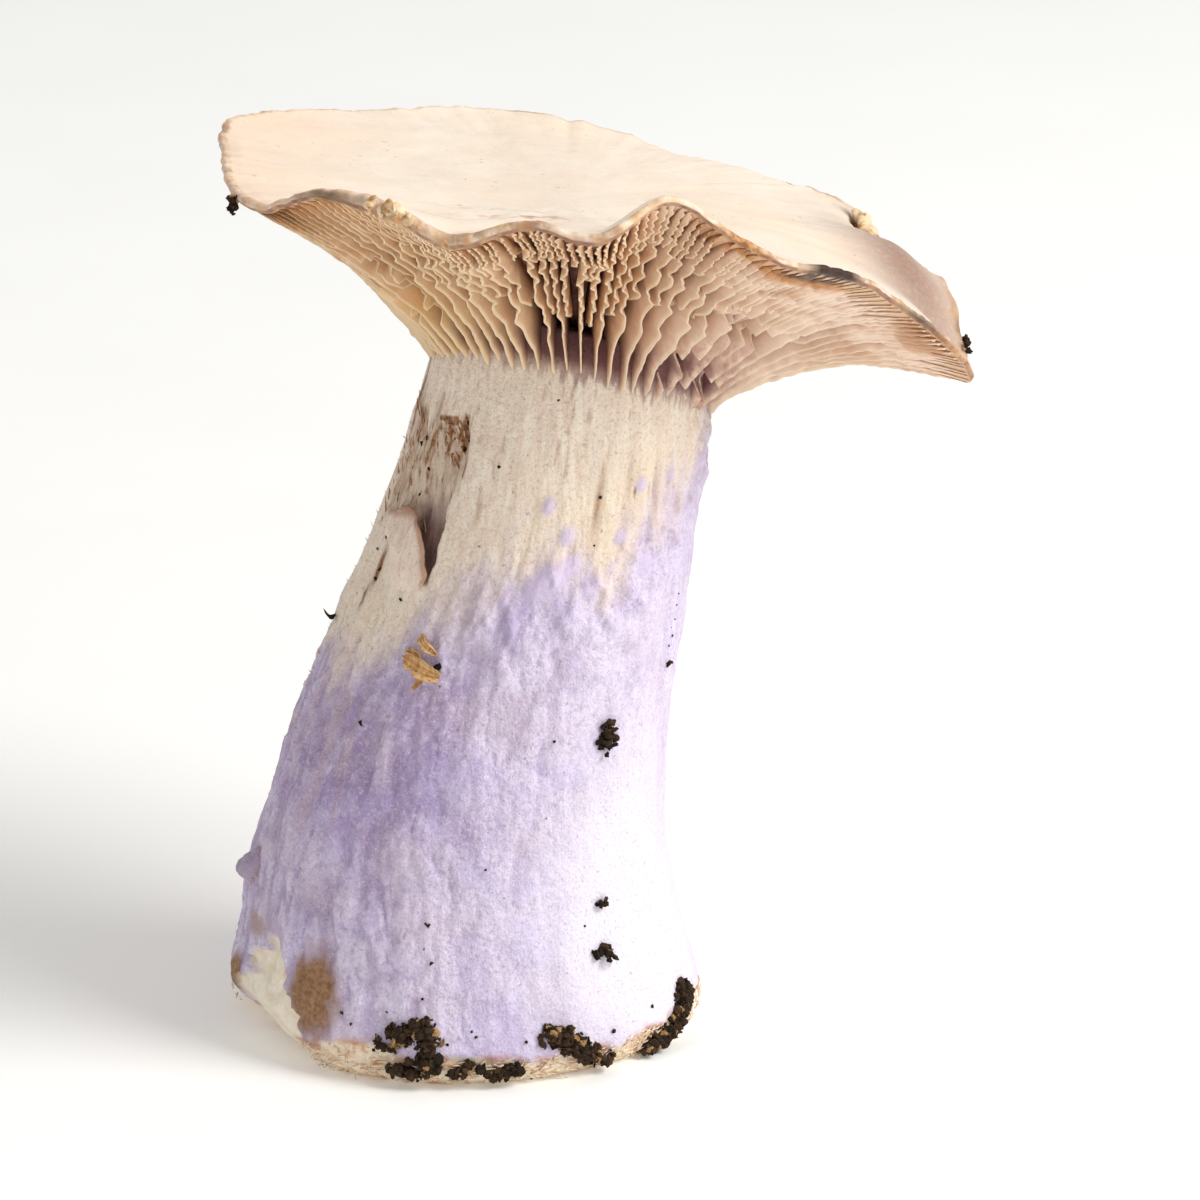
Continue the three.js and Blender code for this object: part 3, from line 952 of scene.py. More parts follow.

# %% [markdown]
# ## The cap's skin
# The cap is matt cream with a peach tint, fine radial fibrils, a few faint creases and a browned edge
# with dark bruises. Painted shade lies on the right lobe, where the cap turns away from the light, and
# on the roof between the gills, with painted shadow under the lip in the notch. A picture could be
# wrapped round it, but noise in the object's own millimetres has no seam and no stretching, and the
# marks made above say where each colour belongs.

# %% Cap finish
def cap_finish():
    skin = Finish(
        "cap_skin", 0.5, Subsurface_Weight=0.15, Subsurface_Radius=(1.0, 0.7, 0.5),
        Subsurface_Scale=1.2 * MM, Specular_IOR_Level=0.3, Sheen_Weight=0.05, Sheen_Roughness=0.5,
    )
    cloud = skin.noise(9, 4)
    fibrils = skin.noise(0.9, 5, skin.stretch((0.35, 1, 1)))
    base = skin.ramp(cloud, 0.35, 0.65, (249, 233, 215), (245, 226, 205))
    base = skin.tint(base, skin.mark("blush"), (248, 220, 194), 0.9)
    base = skin.tint(base, skin.span(fibrils, 0.55, 0.75), (226, 196, 168), 0.2)
    specks = skin.math("MULTIPLY", skin.span(skin.noise(0.8, 2), 0.70, 0.74), 0.45)
    base = skin.mix(specks, base, (180, 138, 108))
    strokes = skin.math("MULTIPLY", skin.mark("crease"), skin.span(fibrils, 0.42, 0.6))
    base = skin.mix(strokes, base, (172, 124, 90))
    # painted shade on the right lobe, where the cap turns away from the light
    shade = skin.math("MULTIPLY", skin.mark("shade"), skin.span(skin.noise(0.5, 4), -0.6, 0.6))
    base = skin.mix(shade, base, (156, 124, 108))
    # painted shade: the roof between the gills is dark, and lighter near the margin
    roof = skin.ramp(skin.noise(0.5, 4), 0.3, 0.7, (118, 74, 68), (156, 110, 92))
    roof = skin.mix(skin.mark("rim_under"), roof, (222, 184, 148))
    colour = skin.mix(skin.mark("underside"), base, roof)
    speckle = skin.noise(1.1, 5)
    tan = skin.math("MULTIPLY", skin.mark("edging"), skin.span(speckle, 0.25, 0.65))
    colour = skin.mix(tan, colour, skin.ramp(skin.noise(4, 3), 0.4, 0.6, (214, 176, 134), (178, 136, 100)))
    rust = skin.math("MULTIPLY", skin.mark("rust"), skin.span(speckle, 0.2, 0.5), True)
    colour = skin.mix(rust, colour, skin.ramp(skin.noise(0.6, 4), 0.4, 0.6, (206, 158, 104), (160, 106, 70)))
    # dark bruises on the margin, and painted shadow under the lip in the notch
    dark = skin.math("MULTIPLY", skin.mark("bruise"), skin.span(speckle, 0.22, 0.42), True)
    colour = skin.mix(dark, colour, (58, 36, 24))
    grain = skin.bump(skin.noise(0.35, 5), 0.05)
    return skin.done(colour, skin.bump(skin.noise(1.6, 4), 0.06, grain))


dress(cap, cap_finish(), "mushroom_flesh", "mushroom")

# %% [markdown]
# ## The gills
# Gills are thin blades that hang from the cap's roof. Long ones run from stem to margin, and shorter
# ones fill the widening gaps between them. Towards the margin they are crisped into zigzags, because
# they grew faster than the room they had. Copies of one blade would look combed, so every blade is
# its own strip, and neighbours share the phase of their zigzag, as they do when they grow side by side.

# %% How a blade sways and breaks
LONG_GILLS = 62
LAYERS = np.array([-0.14, 0.3, 0.62, 0.88, 1.0])  # from the roof, 0, to the free edge, 1


def zigzag(phase):
    """A wave with nearly straight sides."""
    return np.arcsin(0.96 * np.sin(phase)) * (2 / np.pi)


def gill_sway(share, angle, layer, length, own):
    """How far a blade swings sideways, in mm: almost none near the roof and the stem, most in the
    middle, with shorter and shorter zigzags towards the margin, and a slow lean of whole groups."""
    around = together(5 * cos(angle) + 30, 5 * sin(angle) + 30, 3 * share)
    group = cloudy(around, 41, 2)
    lean = cloudy(around * 1.4 + 11, 42, 2)
    left = hill(angle, 218, 22)
    right = hill((angle + 25) % 360, 15, 26)
    phase = 2 * np.pi * (length * share / 5.0 + 2.2 * share**2) + 4.0 * group + own * (1 + 2.5 * left)
    centre = hill(angle, 272, 13) * ease(share, 0.75, 0.45)
    strength = lerp(0.08, 0.6, ease(share, 0.10, 0.42)) * lerp(1, 0.2, ease(share, 0.52, 0.9))
    strength = strength * (1 - 0.62 * right) * (1 - 0.7 * centre) * (0.9 + 0.4 * lean)
    sway = strength * zigzag(phase) + 0.12 * np.sin(2.3 * phase + 3 * own) * ease(share, 0.1, 0.4)
    side = 1.1 * lean * (1 - 0.7 * centre) + 0.9 * left - 0.5 * right
    return (sway + side * ease(share, 0.0, 0.3)) * np.clip(layer, 0, 1) ** 1.5


def gill_drop(share, angle, length, own):
    """How much of a blade's depth is missing at its free edge, 0 to 1: small bites everywhere, and
    square broken pieces near the stem at the right of the front."""
    cells = together(angle / 4.2, share * length / 1.7, 0 * share + own)
    broken = ease(soft_noise(cells, 43), 0.12, 0.18)
    place = hill(angle, 322, 17) * ease(share, -0.02, 0.06) * ease(share, 0.6, 0.42)
    place_left = 0.55 * hill(angle, 212, 16) * ease(share, 0.1, 0.2) * ease(share, 0.7, 0.6)
    bites = 0.045 * (1 + cloudy(together(angle, share * 34, 0 * share), 44, 2))
    return np.clip(0.5 * broken * ease(place + place_left, 0.3, 0.5) + bites, 0, 0.85)


print("a zigzag at a quarter of its wave:", zigzag(np.pi / 2).round(2))

# %% Building the blades
def make_gills(name, angles, starts, sections, thick, seed):
    """One closed strip to each angle. A section across a blade is a thin wedge of ten points, down one
    side and up the other. Sections follow each other from the blade's start to the margin."""
    count = len(angles)
    random = np.random.default_rng(seed)
    own = random.uniform(-0.5, 0.5, count)[:, None]
    run = np.linspace(0, 1, sections)[None, :]
    share = lerp(starts[:, None], 0.998, run)
    angle = np.broadcast_to(angles[:, None], share.shape)
    up, length = gill_up(angle)
    fresh = ease(run, 0, 0.3) if starts.max() > 0.05 else 1 + 0 * run
    tooth = 0.7 * random.uniform(0, 1, count)[:, None] * hill(share, 0, 0.06)
    drop = gill_drop(share, angle, length, own)
    proud = 0.02 + 0.18 * ease(share, 1.0, 0.88)
    depth = (gill_depth(share, angle) + proud) * lerp(0.06, 1, fresh) * (1 - drop) + tooth
    root = gill_depth(share, angle)
    edge = gill_edge(share, angle)
    side = sideways(angle)
    sides = np.concatenate([LAYERS, LAYERS[::-1]])
    sign = np.concatenate([-np.ones(5), np.ones(5)])
    layer = sides[None, None, :]
    below_root = np.clip(layer, -1, 1) * depth[..., None]
    sway = gill_sway(share[..., None], angle[..., None], layer, length[..., None], own[..., None])
    half = thick / 2 * lerp(1.6, 0.4, np.clip(layer, 0, 1))
    aside = sway + sign * half
    lift = root[..., None] - below_root
    points = edge[:, :, None] + up[:, :, None] * lift[..., None] + side[:, :, None] * aside[..., None]
    shape = points.shape[:3]
    scorch = hill(angle, 314, 9) * ease(share, 0.78, 0.97)
    scorch = scorch + 0.7 * hill(angle, 297, 5) * ease(share, 0.9, 1.0)
    golden_left = hill(angle, 214, 20) * ease(share, 0.5, 0.1)
    broken_right = hill(angle, 326, 22) * ease(share, 0.45, 0.1)
    marks = {
        "depth": np.broadcast_to(np.clip(layer, 0, 1), shape),
        "along": np.broadcast_to(share[..., None], shape),
        "shade": np.broadcast_to(random.uniform(0, 1, count)[:, None, None], shape),
        "scorch": np.broadcast_to(scorch[..., None], shape),
        "golden": np.broadcast_to(golden_left[..., None], shape),
        "plum": np.broadcast_to((broken_right + 2 * drop * broken_right)[..., None], shape),
        "pale": np.broadcast_to(ease(cos(angle), 0.1, 0.8)[..., None], shape),
        "lit": np.broadcast_to(ease(cos(angle - 212), 0.45, 0.95)[..., None], shape),
    }
    return put_mesh(name, points.reshape(-1, 3), *blade_faces(count, sections), marks)


def blade_faces(count, sections):
    """Quads round each blade and across its two ends, with each blade in a strip of its own on the
    flat picture of the surface."""
    ring = 10
    index = np.arange(count * sections * ring).reshape(count, sections, ring)
    after = np.roll(index, -1, axis=2)
    walls = np.stack([index[:, :-1], after[:, :-1], after[:, 1:], index[:, 1:]], -1)
    start, end = index[:, 0], index[:, -1]
    pairs = [(i, i + 1, 8 - i, 9 - i) for i in range(4)]
    first = np.stack([start[:, p[::-1]] for p in pairs], 1)
    last = np.stack([end[:, p] for p in pairs], 1)
    i, j, k = np.meshgrid(np.arange(count), np.arange(sections - 1), np.arange(ring), indexing="ij")
    low, high = (i + k / ring) / count, (i + (k + 1) / ring) / count
    near, far = j / sections, (j + 1) / sections
    wall_uv = np.stack([near, low, near, high, far, high, far, low], -1).reshape(-1, 4, 2)
    quads = np.concatenate([walls.reshape(-1, 4), first.reshape(-1, 4), last.reshape(-1, 4)])
    corner = np.full((len(quads) - len(wall_uv), 4, 2), 0.999)
    return quads, np.concatenate([wall_uv, corner])


def gill_angles(per_long, offset, seed):
    """Evenly spaced angles with a little jitter: per_long blades to each long one."""
    count = LONG_GILLS * per_long
    step = 360 / count
    jitter = np.random.default_rng(seed).uniform(-0.1, 0.1, count)
    return (np.arange(count) + offset + jitter) * step

# %% Long, middle and short gills
random = np.random.default_rng(45)
long_gills = make_gills("gills_long", gill_angles(1, 0, 46), np.full(LONG_GILLS, -0.05), 130, 0.3, 47)
middle_angles = gill_angles(1, 0.5, 48)
middle_starts = random.uniform(0.18, 0.34, LONG_GILLS) * (1 - 0.85 * hill(middle_angles, 275, 14))
middle_gills = make_gills("gills_middle", middle_angles, middle_starts, 104, 0.27, 49)
short_gills = make_gills(
    "gills_short", gill_angles(2, 0.5, 50), random.uniform(0.48, 0.68, 2 * LONG_GILLS), 64, 0.22, 51)

# %% [markdown]
# ## The gills' colours
# A gill is beige with a painted highlight along its free edge. Painted shade darkens it towards the
# roof, to plum-brown deep down by the stem, and painted light (the lit mark) brightens the left.
# Light alone would make the gaps too dark and grey, so the colour changes with the depth mark, and
# the marks along the blade add the golden left side, the plum patch at the right and the scorched
# margin.

# %% Gill finish
def gill_finish():
    blade = Finish(
        "gill_blades", 0.55, Subsurface_Weight=0.18, Subsurface_Radius=(1.0, 0.6, 0.4),
        Subsurface_Scale=0.6 * MM, Specular_IOR_Level=0.25,
    )
    depth, along = blade.mark("depth"), blade.mark("along")
    face = blade.ramp(blade.noise(1.4, 4), 0.35, 0.65, (242, 206, 166), (230, 188, 150))
    face = blade.tint(face, blade.mark("lit"), (254, 226, 190), 0.6)
    face = blade.tint(face, blade.mark("shade"), (200, 154, 126), 0.25)
    face = blade.tint(face, blade.mark("pale"), (252, 226, 206), 0.85)
    gold = blade.math("MULTIPLY", blade.mark("golden"), blade.span(blade.noise(1.8, 4), 0.2, 0.55))
    face = blade.mix(gold, face, (250, 214, 158))
    # painted highlight along the free edge
    face = blade.tint(face, blade.span(depth, 0.85, 1.0), (248, 222, 190), 0.6)
    plum = blade.math("MULTIPLY", blade.mark("plum"), blade.span(blade.noise(1.0, 5), 0.35, 0.65), True)
    face = blade.tint(face, plum, (184, 132, 130), 0.8)
    # painted shade deep between the blades, darkest by the stem, lightened by painted light on the left
    dark = blade.ramp(along, 0.1, 0.7, (88, 48, 50), (146, 100, 80))
    dark = blade.tint(dark, blade.mark("lit"), (238, 200, 158), 0.9)
    dark = blade.tint(dark, blade.mark("pale"), (234, 200, 172), 0.85)
    colour = blade.ramp(depth, 0.62, 0.08, face, dark)
    # painted shade on the faces of the pale blades, towards the roof
    painted_face_shade = blade.math("MULTIPLY", blade.span(depth, 0.98, 0.55), blade.mark("pale"))
    painted_face_shade = blade.math("MULTIPLY", painted_face_shade, blade.span(along, 1.0, 0.85))
    colour = blade.tint(colour, painted_face_shade, (204, 166, 142), 0.3)
    # painted shade deep down at the roots by the stem
    foot = blade.math("MULTIPLY", blade.span(along, 0.2, 0.02), blade.span(depth, 1.0, 0.6))
    colour = blade.mix(foot, colour, (112, 66, 72))
    scorch = blade.ramp(blade.mark("scorch"), 0.3, 0.8, (206, 148, 90), (84, 50, 30))
    burnt = blade.math("MULTIPLY", blade.span(blade.mark("scorch"), 0.02, 0.35), 0.9)
    colour = blade.mix(burnt, colour, scorch)
    return blade.done(colour, blade.bump(blade.noise(0.35, 4), 0.05))


gill_material = gill_finish()
for gills in (long_gills, middle_gills, short_gills):
    dress(gills, gill_material, "mushroom_flesh", "mushroom")

# %% [markdown]
# ## Soil
# Compost is crumbs of many sizes stuck together. A bumpy surface with a soil texture would look like
# modelling clay, so each clod is a few hundred separate grains, strewn over the place that it holds on
# the edge of the cut. A grain is a coarse ball of 24 faces pushed out of shape and left flat-shaded,
# because crumbs have edges.

# %% Grains
def grain_ball():
    """The corners and faces of a cube with each face cut in four, blown up to a ball: 26 points."""
    steps = list(itertools.product((-1, 0, 1), repeat=3))
    corners = np.array([s for s in steps if any(s)], float)
    lookup = {s: i for i, s in enumerate(s for s in steps if any(s))}
    quads = []
    for axis, side in itertools.product(range(3), (-1, 1)):
        u = (axis + 1) % 3
        for a, b in itertools.product((-1, 0), repeat=2):
            ring = [(a, b), (a + 1, b), (a + 1, b + 1), (a, b + 1)]
            if side < 0:
                ring.reverse()
            quads.append([lookup[tuple(side if k == axis else (p if k == u else q) for k in range(3))]
                          for p, q in ring])
    return corners / np.linalg.norm(corners, axis=1)[:, None], np.array(quads)


def make_grains(name, middles, sizes, seed, tint=0.5):
    """A grain at each middle: a ball squashed and turned at random, with dents of its own."""
    ball, faces = grain_ball()
    random = np.random.default_rng(seed)
    count = len(middles)
    turn, _ = np.linalg.qr(random.normal(size=(count, 3, 3)))
    turn *= np.sign(np.linalg.det(turn))[:, None, None]
    stretch = random.uniform(0.45, 1.35, (count, 1, 3))
    dent = 1 + random.uniform(-0.34, 0.34, (count, len(ball), 1))
    shape = (ball * stretch * dent) @ turn * sizes[:, None, None]
    points = (middles[:, None] + shape).reshape(-1, 3)
    points[:, 2] = np.maximum(points[:, 2], 0.05)
    quads = (np.arange(count)[:, None, None] * len(ball) + faces).reshape(-1, 4)
    uv = np.tile([[0.0, 0], [1, 0], [1, 1], [0, 1]], (len(quads), 1, 1))
    cell = np.repeat(np.arange(count), len(faces))
    side = math.ceil(math.sqrt(count))
    uv = (uv * 0.9 + np.stack([cell % side, cell // side], -1)[:, None]) / side
    shade = np.repeat(np.clip(tint + random.normal(0, 0.3, count), 0, 1), len(ball))
    piece = put_mesh(name, points, quads, uv, {"shade": shade})
    piece.data.polygons.foreach_set("use_smooth", np.zeros(len(quads), bool))
    return piece


print("one grain:", len(grain_ball()[0]), "points,", len(grain_ball()[1]), "faces")

# %% Strewing
def strew(places, width, proud, count, seed):
    """Grain middles and sizes along a line of (angle, height) places on the stem: scattered across it,
    piled outwards, and with gaps where a noise is low."""
    random = np.random.default_rng(seed)
    places = np.array(places, float)
    t = random.uniform(0, len(places) - 1, count)
    table = np.column_stack([np.arange(len(places)), places])
    angle, height = through(table, t)
    across = random.normal(0, 0.5, (2, count)).clip(-1.3, 1.3) * width
    angle = angle + np.degrees(across[0] / FOOT_RADIUS)
    height = np.clip(height + across[1], 0.35, None)
    pile = 1 - (across / width) ** 2
    out = random.uniform(-0.15, 1, count) * proud * np.clip(pile.min(0), 0, 1)
    sizes = 0.14 + 0.55 * random.uniform(0, 1, count) ** 2.5
    kept = cloudy(on_stem(height, angle, 1.1, 1.1), seed + 200, 2) > -0.22
    return stem_point(height, angle, out)[kept], sizes[kept]

# %% Soil finish
def soil_finish():
    earth = Finish("compost", 0.92, Specular_IOR_Level=0.2)
    shade = earth.mark("shade")
    colour = earth.mix(shade, (26, 19, 13), (78, 58, 40))
    colour = earth.ramp(shade, 0.92, 1.0, colour, (168, 132, 88))
    colour = earth.tint(colour, earth.span(earth.noise(0.3, 3), 0.5, 0.7), (60, 44, 30), 0.5)
    return earth.done(colour, earth.bump(earth.noise(0.2, 4), 0.08))


compost = soil_finish()
# %% Clods on the edge of the cut
CLODS = {
    "soil_clod_front_left": (
        [(255, 5.6), (253.5, 4.4), (257, 5.0), (261, 6.2), (263.5, 5.6), (263.5, 3.8), (261, 2.0),
         (255, 1.5)], 0.8, 0.85, 1200),
    "soil_streak_front": (
        [(263, 2.6), (268, 1.7), (273, 2.2), (278, 1.3), (283, 1.8), (287, 0.9)], 0.42, 0.5, 520),
    "soil_clod_front_right": (
        [(292.5, 4.7), (296, 4.6), (299, 3.6), (303, 2.4), (308, 1.3)], 0.85, 0.95, 800),
    "soil_clod_right": ([(321, 0.9), (328, 1.2), (334, 2.2), (339, 3.6), (342, 4.8)], 0.75, 0.95, 760),
}
for seed, (node, (places, width, proud, count)) in enumerate(CLODS.items()):
    middles, sizes = strew(places, width, proud, count, 60 + seed)
    dress(make_grains(node + "_grains", middles, 0.72 * sizes, 70 + seed), compost, "soil", node)

# %% Crumbs on the stem
# angle, height, size of the loose crumbs
CRUMBS = {
    "soil_crumb_upper": (309, 32.0, (0.9, 1.5)),
    "soil_crumb_lower": (311, 11.5, (1.0, 0.8)),
    "soil_crumb_small": (313, 16.0, (0.5, 0.45)),
}
for seed, (node, (angle, height, (wide, tall))) in enumerate(CRUMBS.items()):
    random = np.random.default_rng(80 + seed)
    count = int(26 * wide * tall) + 8
    offset = random.normal(0, 0.5, (2, count)).clip(-1, 1)
    places = stem_point(height + offset[1] * tall, angle + np.degrees(offset[0] * wide / WRAP_RADIUS),
                        random.uniform(0.05, 0.7, count))
    sizes = random.uniform(0.2, 0.42, count) * min(1, wide + 0.2)
    dress(make_grains(node + "_grains", places, sizes, 90 + seed, 0.25), compost, "soil", node)

# %% [markdown]
# ## Bits on the margin
# Two crumbs of compost hang on the margin, the thick lip at the front left is torn into cream lumps,
# and a pale lip fills the bite at the back right. The crumbs and lumps are grains again. The lumps get
# a Subdivision Surface modifier, because flesh is rounded where compost is sharp.

# %% Crumbs, lumps and lip of the margin
def margin_grains(node, angle, lift, spread, count, seed):
    """A crumb on the margin: grains round a place just outside the edge, lifted by lift."""
    random = np.random.default_rng(seed)
    reach, height, half = margin_ring(np.full(count, float(angle)))
    offset = random.normal(0, 0.5, (3, count)).clip(-1, 1) * np.array(spread)[:, None]
    turned = angle + np.degrees(offset[1] / MARGIN_REACH)
    out = reach + half + 0.12 + offset[0]
    middles = cap_point(out, turned, height + lift + offset[2])
    piece = make_grains(node + "_grains", middles, random.uniform(0.18, 0.36, count), seed + 1, 0.3)
    return dress(piece, compost, "soil", node)


def make_lumps():
    """Torn, cream-coloured lumps along the thick lip at the front left of the margin."""
    random = np.random.default_rng(150)
    count = 22
    angle = np.concatenate([random.normal(241.5, 1.8, 16), random.uniform(236, 252, count - 16)])
    reach, height, half = margin_ring(angle)
    turn = random.uniform(-40, 70, count)
    out = reach + (half - 0.12) * cos(turn)
    middles = cap_point(out, angle, height + (half - 0.12) * sin(turn))
    piece = make_grains("margin_lumps", middles, random.uniform(0.35, 0.75, count), 151, 0.5)
    piece.data.polygons.foreach_set("use_smooth", np.ones(len(piece.data.polygons), bool))
    rounding = piece.modifiers.new("rounding", "SUBSURF")
    rounding.levels = rounding.render_levels = 2
    return piece


def make_notch_lip():
    """A rounded lip of pale flesh, long along the margin, that fills the bite at the back right."""
    t = np.linspace(-1, 1, 26)[:, None]
    turn = np.arange(14)[None, :] * 360 / 14
    angle = 34 + 3.0 * t
    reach, height, half = margin_ring(angle)
    radius = 0.85 * np.sqrt(np.clip(1 - t**2, 0, 1)) * (1 + 0.15 * np.sin(7 * t + turn / 57))
    out = reach + half - 0.5 + radius * cos(turn)
    points = cap_point(out, angle, height + 0.25 + 0.8 * radius * sin(turn))
    return round_grid("notch_lip", points, {"shade": 0.65})


def lump_finish():
    lump = Finish("torn_lip", 0.6, Subsurface_Weight=0.12, Subsurface_Radius=(1.0, 0.7, 0.5),
                  Subsurface_Scale=0.8 * MM, Specular_IOR_Level=0.28)
    colour = lump.mix(lump.mark("shade"), (200, 150, 98), (250, 232, 196))
    colour = lump.ramp(lump.noise(0.5, 4), 0.5, 0.7, colour, (176, 122, 76))
    return lump.done(colour, lump.bump(lump.noise(0.3, 4), 0.06))


lip_material = lump_finish()
dress(make_lumps(), lip_material, "mushroom_flesh", "mushroom")
dress(make_notch_lip(), lip_material, "mushroom_flesh", "mushroom")
margin_grains("soil_crumb_margin", 206, -0.8, (0.35, 0.5, 0.9), 22, 100)
margin_grains("soil_crumb_spout", 6, 0.2, (0.15, 1.0, 0.6), 18, 102)

# %% [markdown]
# ## Torn skin, straw and loose bits
# A tongue of skin peels away at the upper left, flakes of straw stick below it, and dark specks,
# needles, a rootlet and fibres cling to the stem. Sheets are grids with a second grid behind them, so
# even a flake has two sides and a rim. Fibres and needles are square tubes of a few rings, because a
# particle system's hair would not be a mesh.

# %% Thin sheets
def make_sheet(name, front, back, marks):
    """A closed thin shell from two matching grids, front and back, with a rim between them."""
    rows, columns = front.shape[:2]
    first = np.arange(rows * columns).reshape(rows, columns)
    second = first + rows * columns

    def cells(index):
        return np.stack([index[:-1, :-1], index[:-1, 1:], index[1:, 1:], index[1:, :-1]], -1).reshape(-1, 4)

    def loop(index):
        return np.concatenate([index[0, :-1], index[:-1, -1], index[-1, :0:-1], index[:0:-1, 0]])

    outer, inner = loop(first), loop(second)
    rim = np.stack([outer, inner, np.roll(inner, -1), np.roll(outer, -1)], -1)
    quads = np.concatenate([cells(first), cells(second)[:, ::-1], rim])
    j, i = np.meshgrid(np.arange(columns - 1), np.arange(rows - 1))
    square = np.stack([j, i, j + 1, i, j + 1, i + 1, j, i + 1], -1).reshape(-1, 4, 2)
    square = square / [columns - 1, rows - 1] * [0.48, 0.95]
    flip = square[:, ::-1] + [0.5, 0]
    strip = np.linspace(0, 0.9, len(rim) + 1)
    low = np.stack([strip[:-1], 0.96 + 0 * strip[1:]], -1)
    high = np.stack([strip[1:], 0.96 + 0 * strip[1:]], -1)
    band = np.stack([low, low + [0, 0.03], high + [0, 0.03], high], 1)
    uv = np.concatenate([square, flip, band])
    points = np.concatenate([front.reshape(-1, 3), back.reshape(-1, 3)])
    full = {mark: np.broadcast_to(numbers, (rows, columns)) for mark, numbers in marks.items()}
    return put_mesh(name, points, quads, uv, {mark: np.tile(full[mark].ravel(), 2) for mark in full})

# %% Fibres
def make_fibres(name, starts, ways, lengths, widths, sag, seed, tints, rings=5):
    """Many thin square tubes. Each leaves its start along its way, and bends by sag times its length
    in a direction of its own."""
    random = np.random.default_rng(seed)
    count = len(starts)
    t = np.linspace(0, 1, rings)[None, :, None]
    bend = random.normal(size=(count, 1, 3))
    ways = ways / np.linalg.norm(ways, axis=1)[:, None]
    line = starts[:, None] + lengths[:, None, None] * (ways[:, None] * t + sag * bend * t**2)
    across = np.cross(ways, random.normal(size=(count, 3)))
    across /= np.linalg.norm(across, axis=1)[:, None]
    other = np.cross(ways, across)
    half = widths[:, None, None] / 2 * (1 - 0.75 * t**2)
    ring = [across + other, other - across, -across - other, across - other]
    points = np.stack([line + half * corner[:, None] for corner in ring], 2)
    points[..., 2] = np.maximum(points[..., 2], 0.05 + 0.01 * points[..., 2])
    index = np.arange(count * rings * 4).reshape(count, rings, 4)
    after = np.roll(index, -1, axis=2)
    walls = np.stack([index[:, :-1], after[:, :-1], after[:, 1:], index[:, 1:]], -1).reshape(-1, 4)
    ends = np.concatenate([index[:, 0, ::-1], index[:, -1]])
    quads = np.concatenate([walls, ends])
    cell = np.concatenate([np.repeat(np.arange(count), (rings - 1) * 4), np.arange(count), np.arange(count)])
    side = math.ceil(math.sqrt(count))
    square = np.array([[0.1, 0.1], [0.9, 0.1], [0.9, 0.9], [0.1, 0.9]])
    uv = (square[None] + np.stack([cell % side, cell // side], -1)[:, None]) / side
    return put_mesh(name, points.reshape(-1, 3), quads, uv, {"shade": np.repeat(tints, rings * 4)})

# %% The peeling strip
def make_strip():
    """A tongue of skin that is part of the stem at its lower end and its left side, and stands off it
    along its right side and its rounded top."""
    v = np.linspace(0, 1, 70)[:, None]
    u = np.linspace(-1, 1, 50)[None, :]
    middle = lerp(221.5, 209.5, v**0.9)
    half = 15.0 * np.sqrt(np.clip(1 - ((v - 0.42) / 0.581) ** 2, 0, 1)) ** 0.8
    half = np.where(v < 0.42, lerp(9.5, 15.0, v / 0.42), half) + 0.25
    ragged = cloudy(together(u * 3 + 9, v * 9, 0), 110)
    angle = middle + half * u * (1 + 0.05 * ragged)
    height = lerp(42.6, 52.3, v) + 0.35 * u + 0.12 * ragged
    skin = stem_relief(height, angle) + 1.1 * gap_mask(height, angle)
    free = ease(u, -0.75, 0.35) * ease(v, 0.12, 0.5) + ease(v, 0.55, 0.95)
    free = np.clip(free, 0, 1)
    stand = skin - 0.28 + free * (0.55 + 0.75 * v**1.5 + 0.3 * (1 - u**2))
    # a groove down the strip, which the finish darkens with painted shade
    slit = hill(u + 0.5 * v, -0.05, 0.055) * ease(v, 0.3, 0.42) * ease(v, 0.84, 0.74)
    front = stem_point(height, angle, stand - 0.4 * slit)
    back = stem_point(height, angle, stand - 0.4 * slit - lerp(0.55, 0.3, v) * (1 - 0.35 * u**2))
    rim = np.clip(ease(u, 0.84, 0.98) * ease(v, 0.2, 0.4) + ease(v, 0.88, 0.975), 0, 1)
    rim = rim * ease(ragged, -1.3, -0.2)
    marks = {"rim": rim, "slit": slit, "merge": 1 - free}
    return make_sheet("peeled_strip", front, back, marks)


def strip_finish():
    skin = Finish("peeled_skin", 0.62, Subsurface_Weight=0.12, Subsurface_Radius=(1.0, 0.6, 0.6),
                  Subsurface_Scale=0.8 * MM, Specular_IOR_Level=0.28)
    fibre = skin.noise(0.6, 5, skin.stretch((1, 1, 0.12)))
    colour = skin.ramp(fibre, 0.3, 0.7, (244, 226, 210), (226, 202, 184))
    colour = skin.mix(skin.mark("merge"), colour, (242, 226, 208))
    grains = skin.noise(0.22, 3)
    colour = skin.coats(
        colour,
        (grains, 0.44, 0.28, (182, 142, 116), 0.5),
        (grains, 0.56, 0.72, (254, 247, 238), 0.4),
    )
    freckle = skin.math("MULTIPLY", skin.span(skin.noise(0.5, 4), 0.62, 0.74), 0.6)
    colour = skin.mix(freckle, colour, (150, 112, 92))
    colour = skin.tint(colour, skin.mark("rim"), (164, 114, 84), 0.75)
    # painted shade in the slit
    colour = skin.tint(colour, skin.mark("slit"), (86, 56, 40), 0.95)
    return skin.done(colour, skin.bump(fibre, 0.10, skin.bump(skin.noise(0.4, 4), 0.06)))


dress(make_strip(), strip_finish(), "mushroom_flesh", "mushroom")

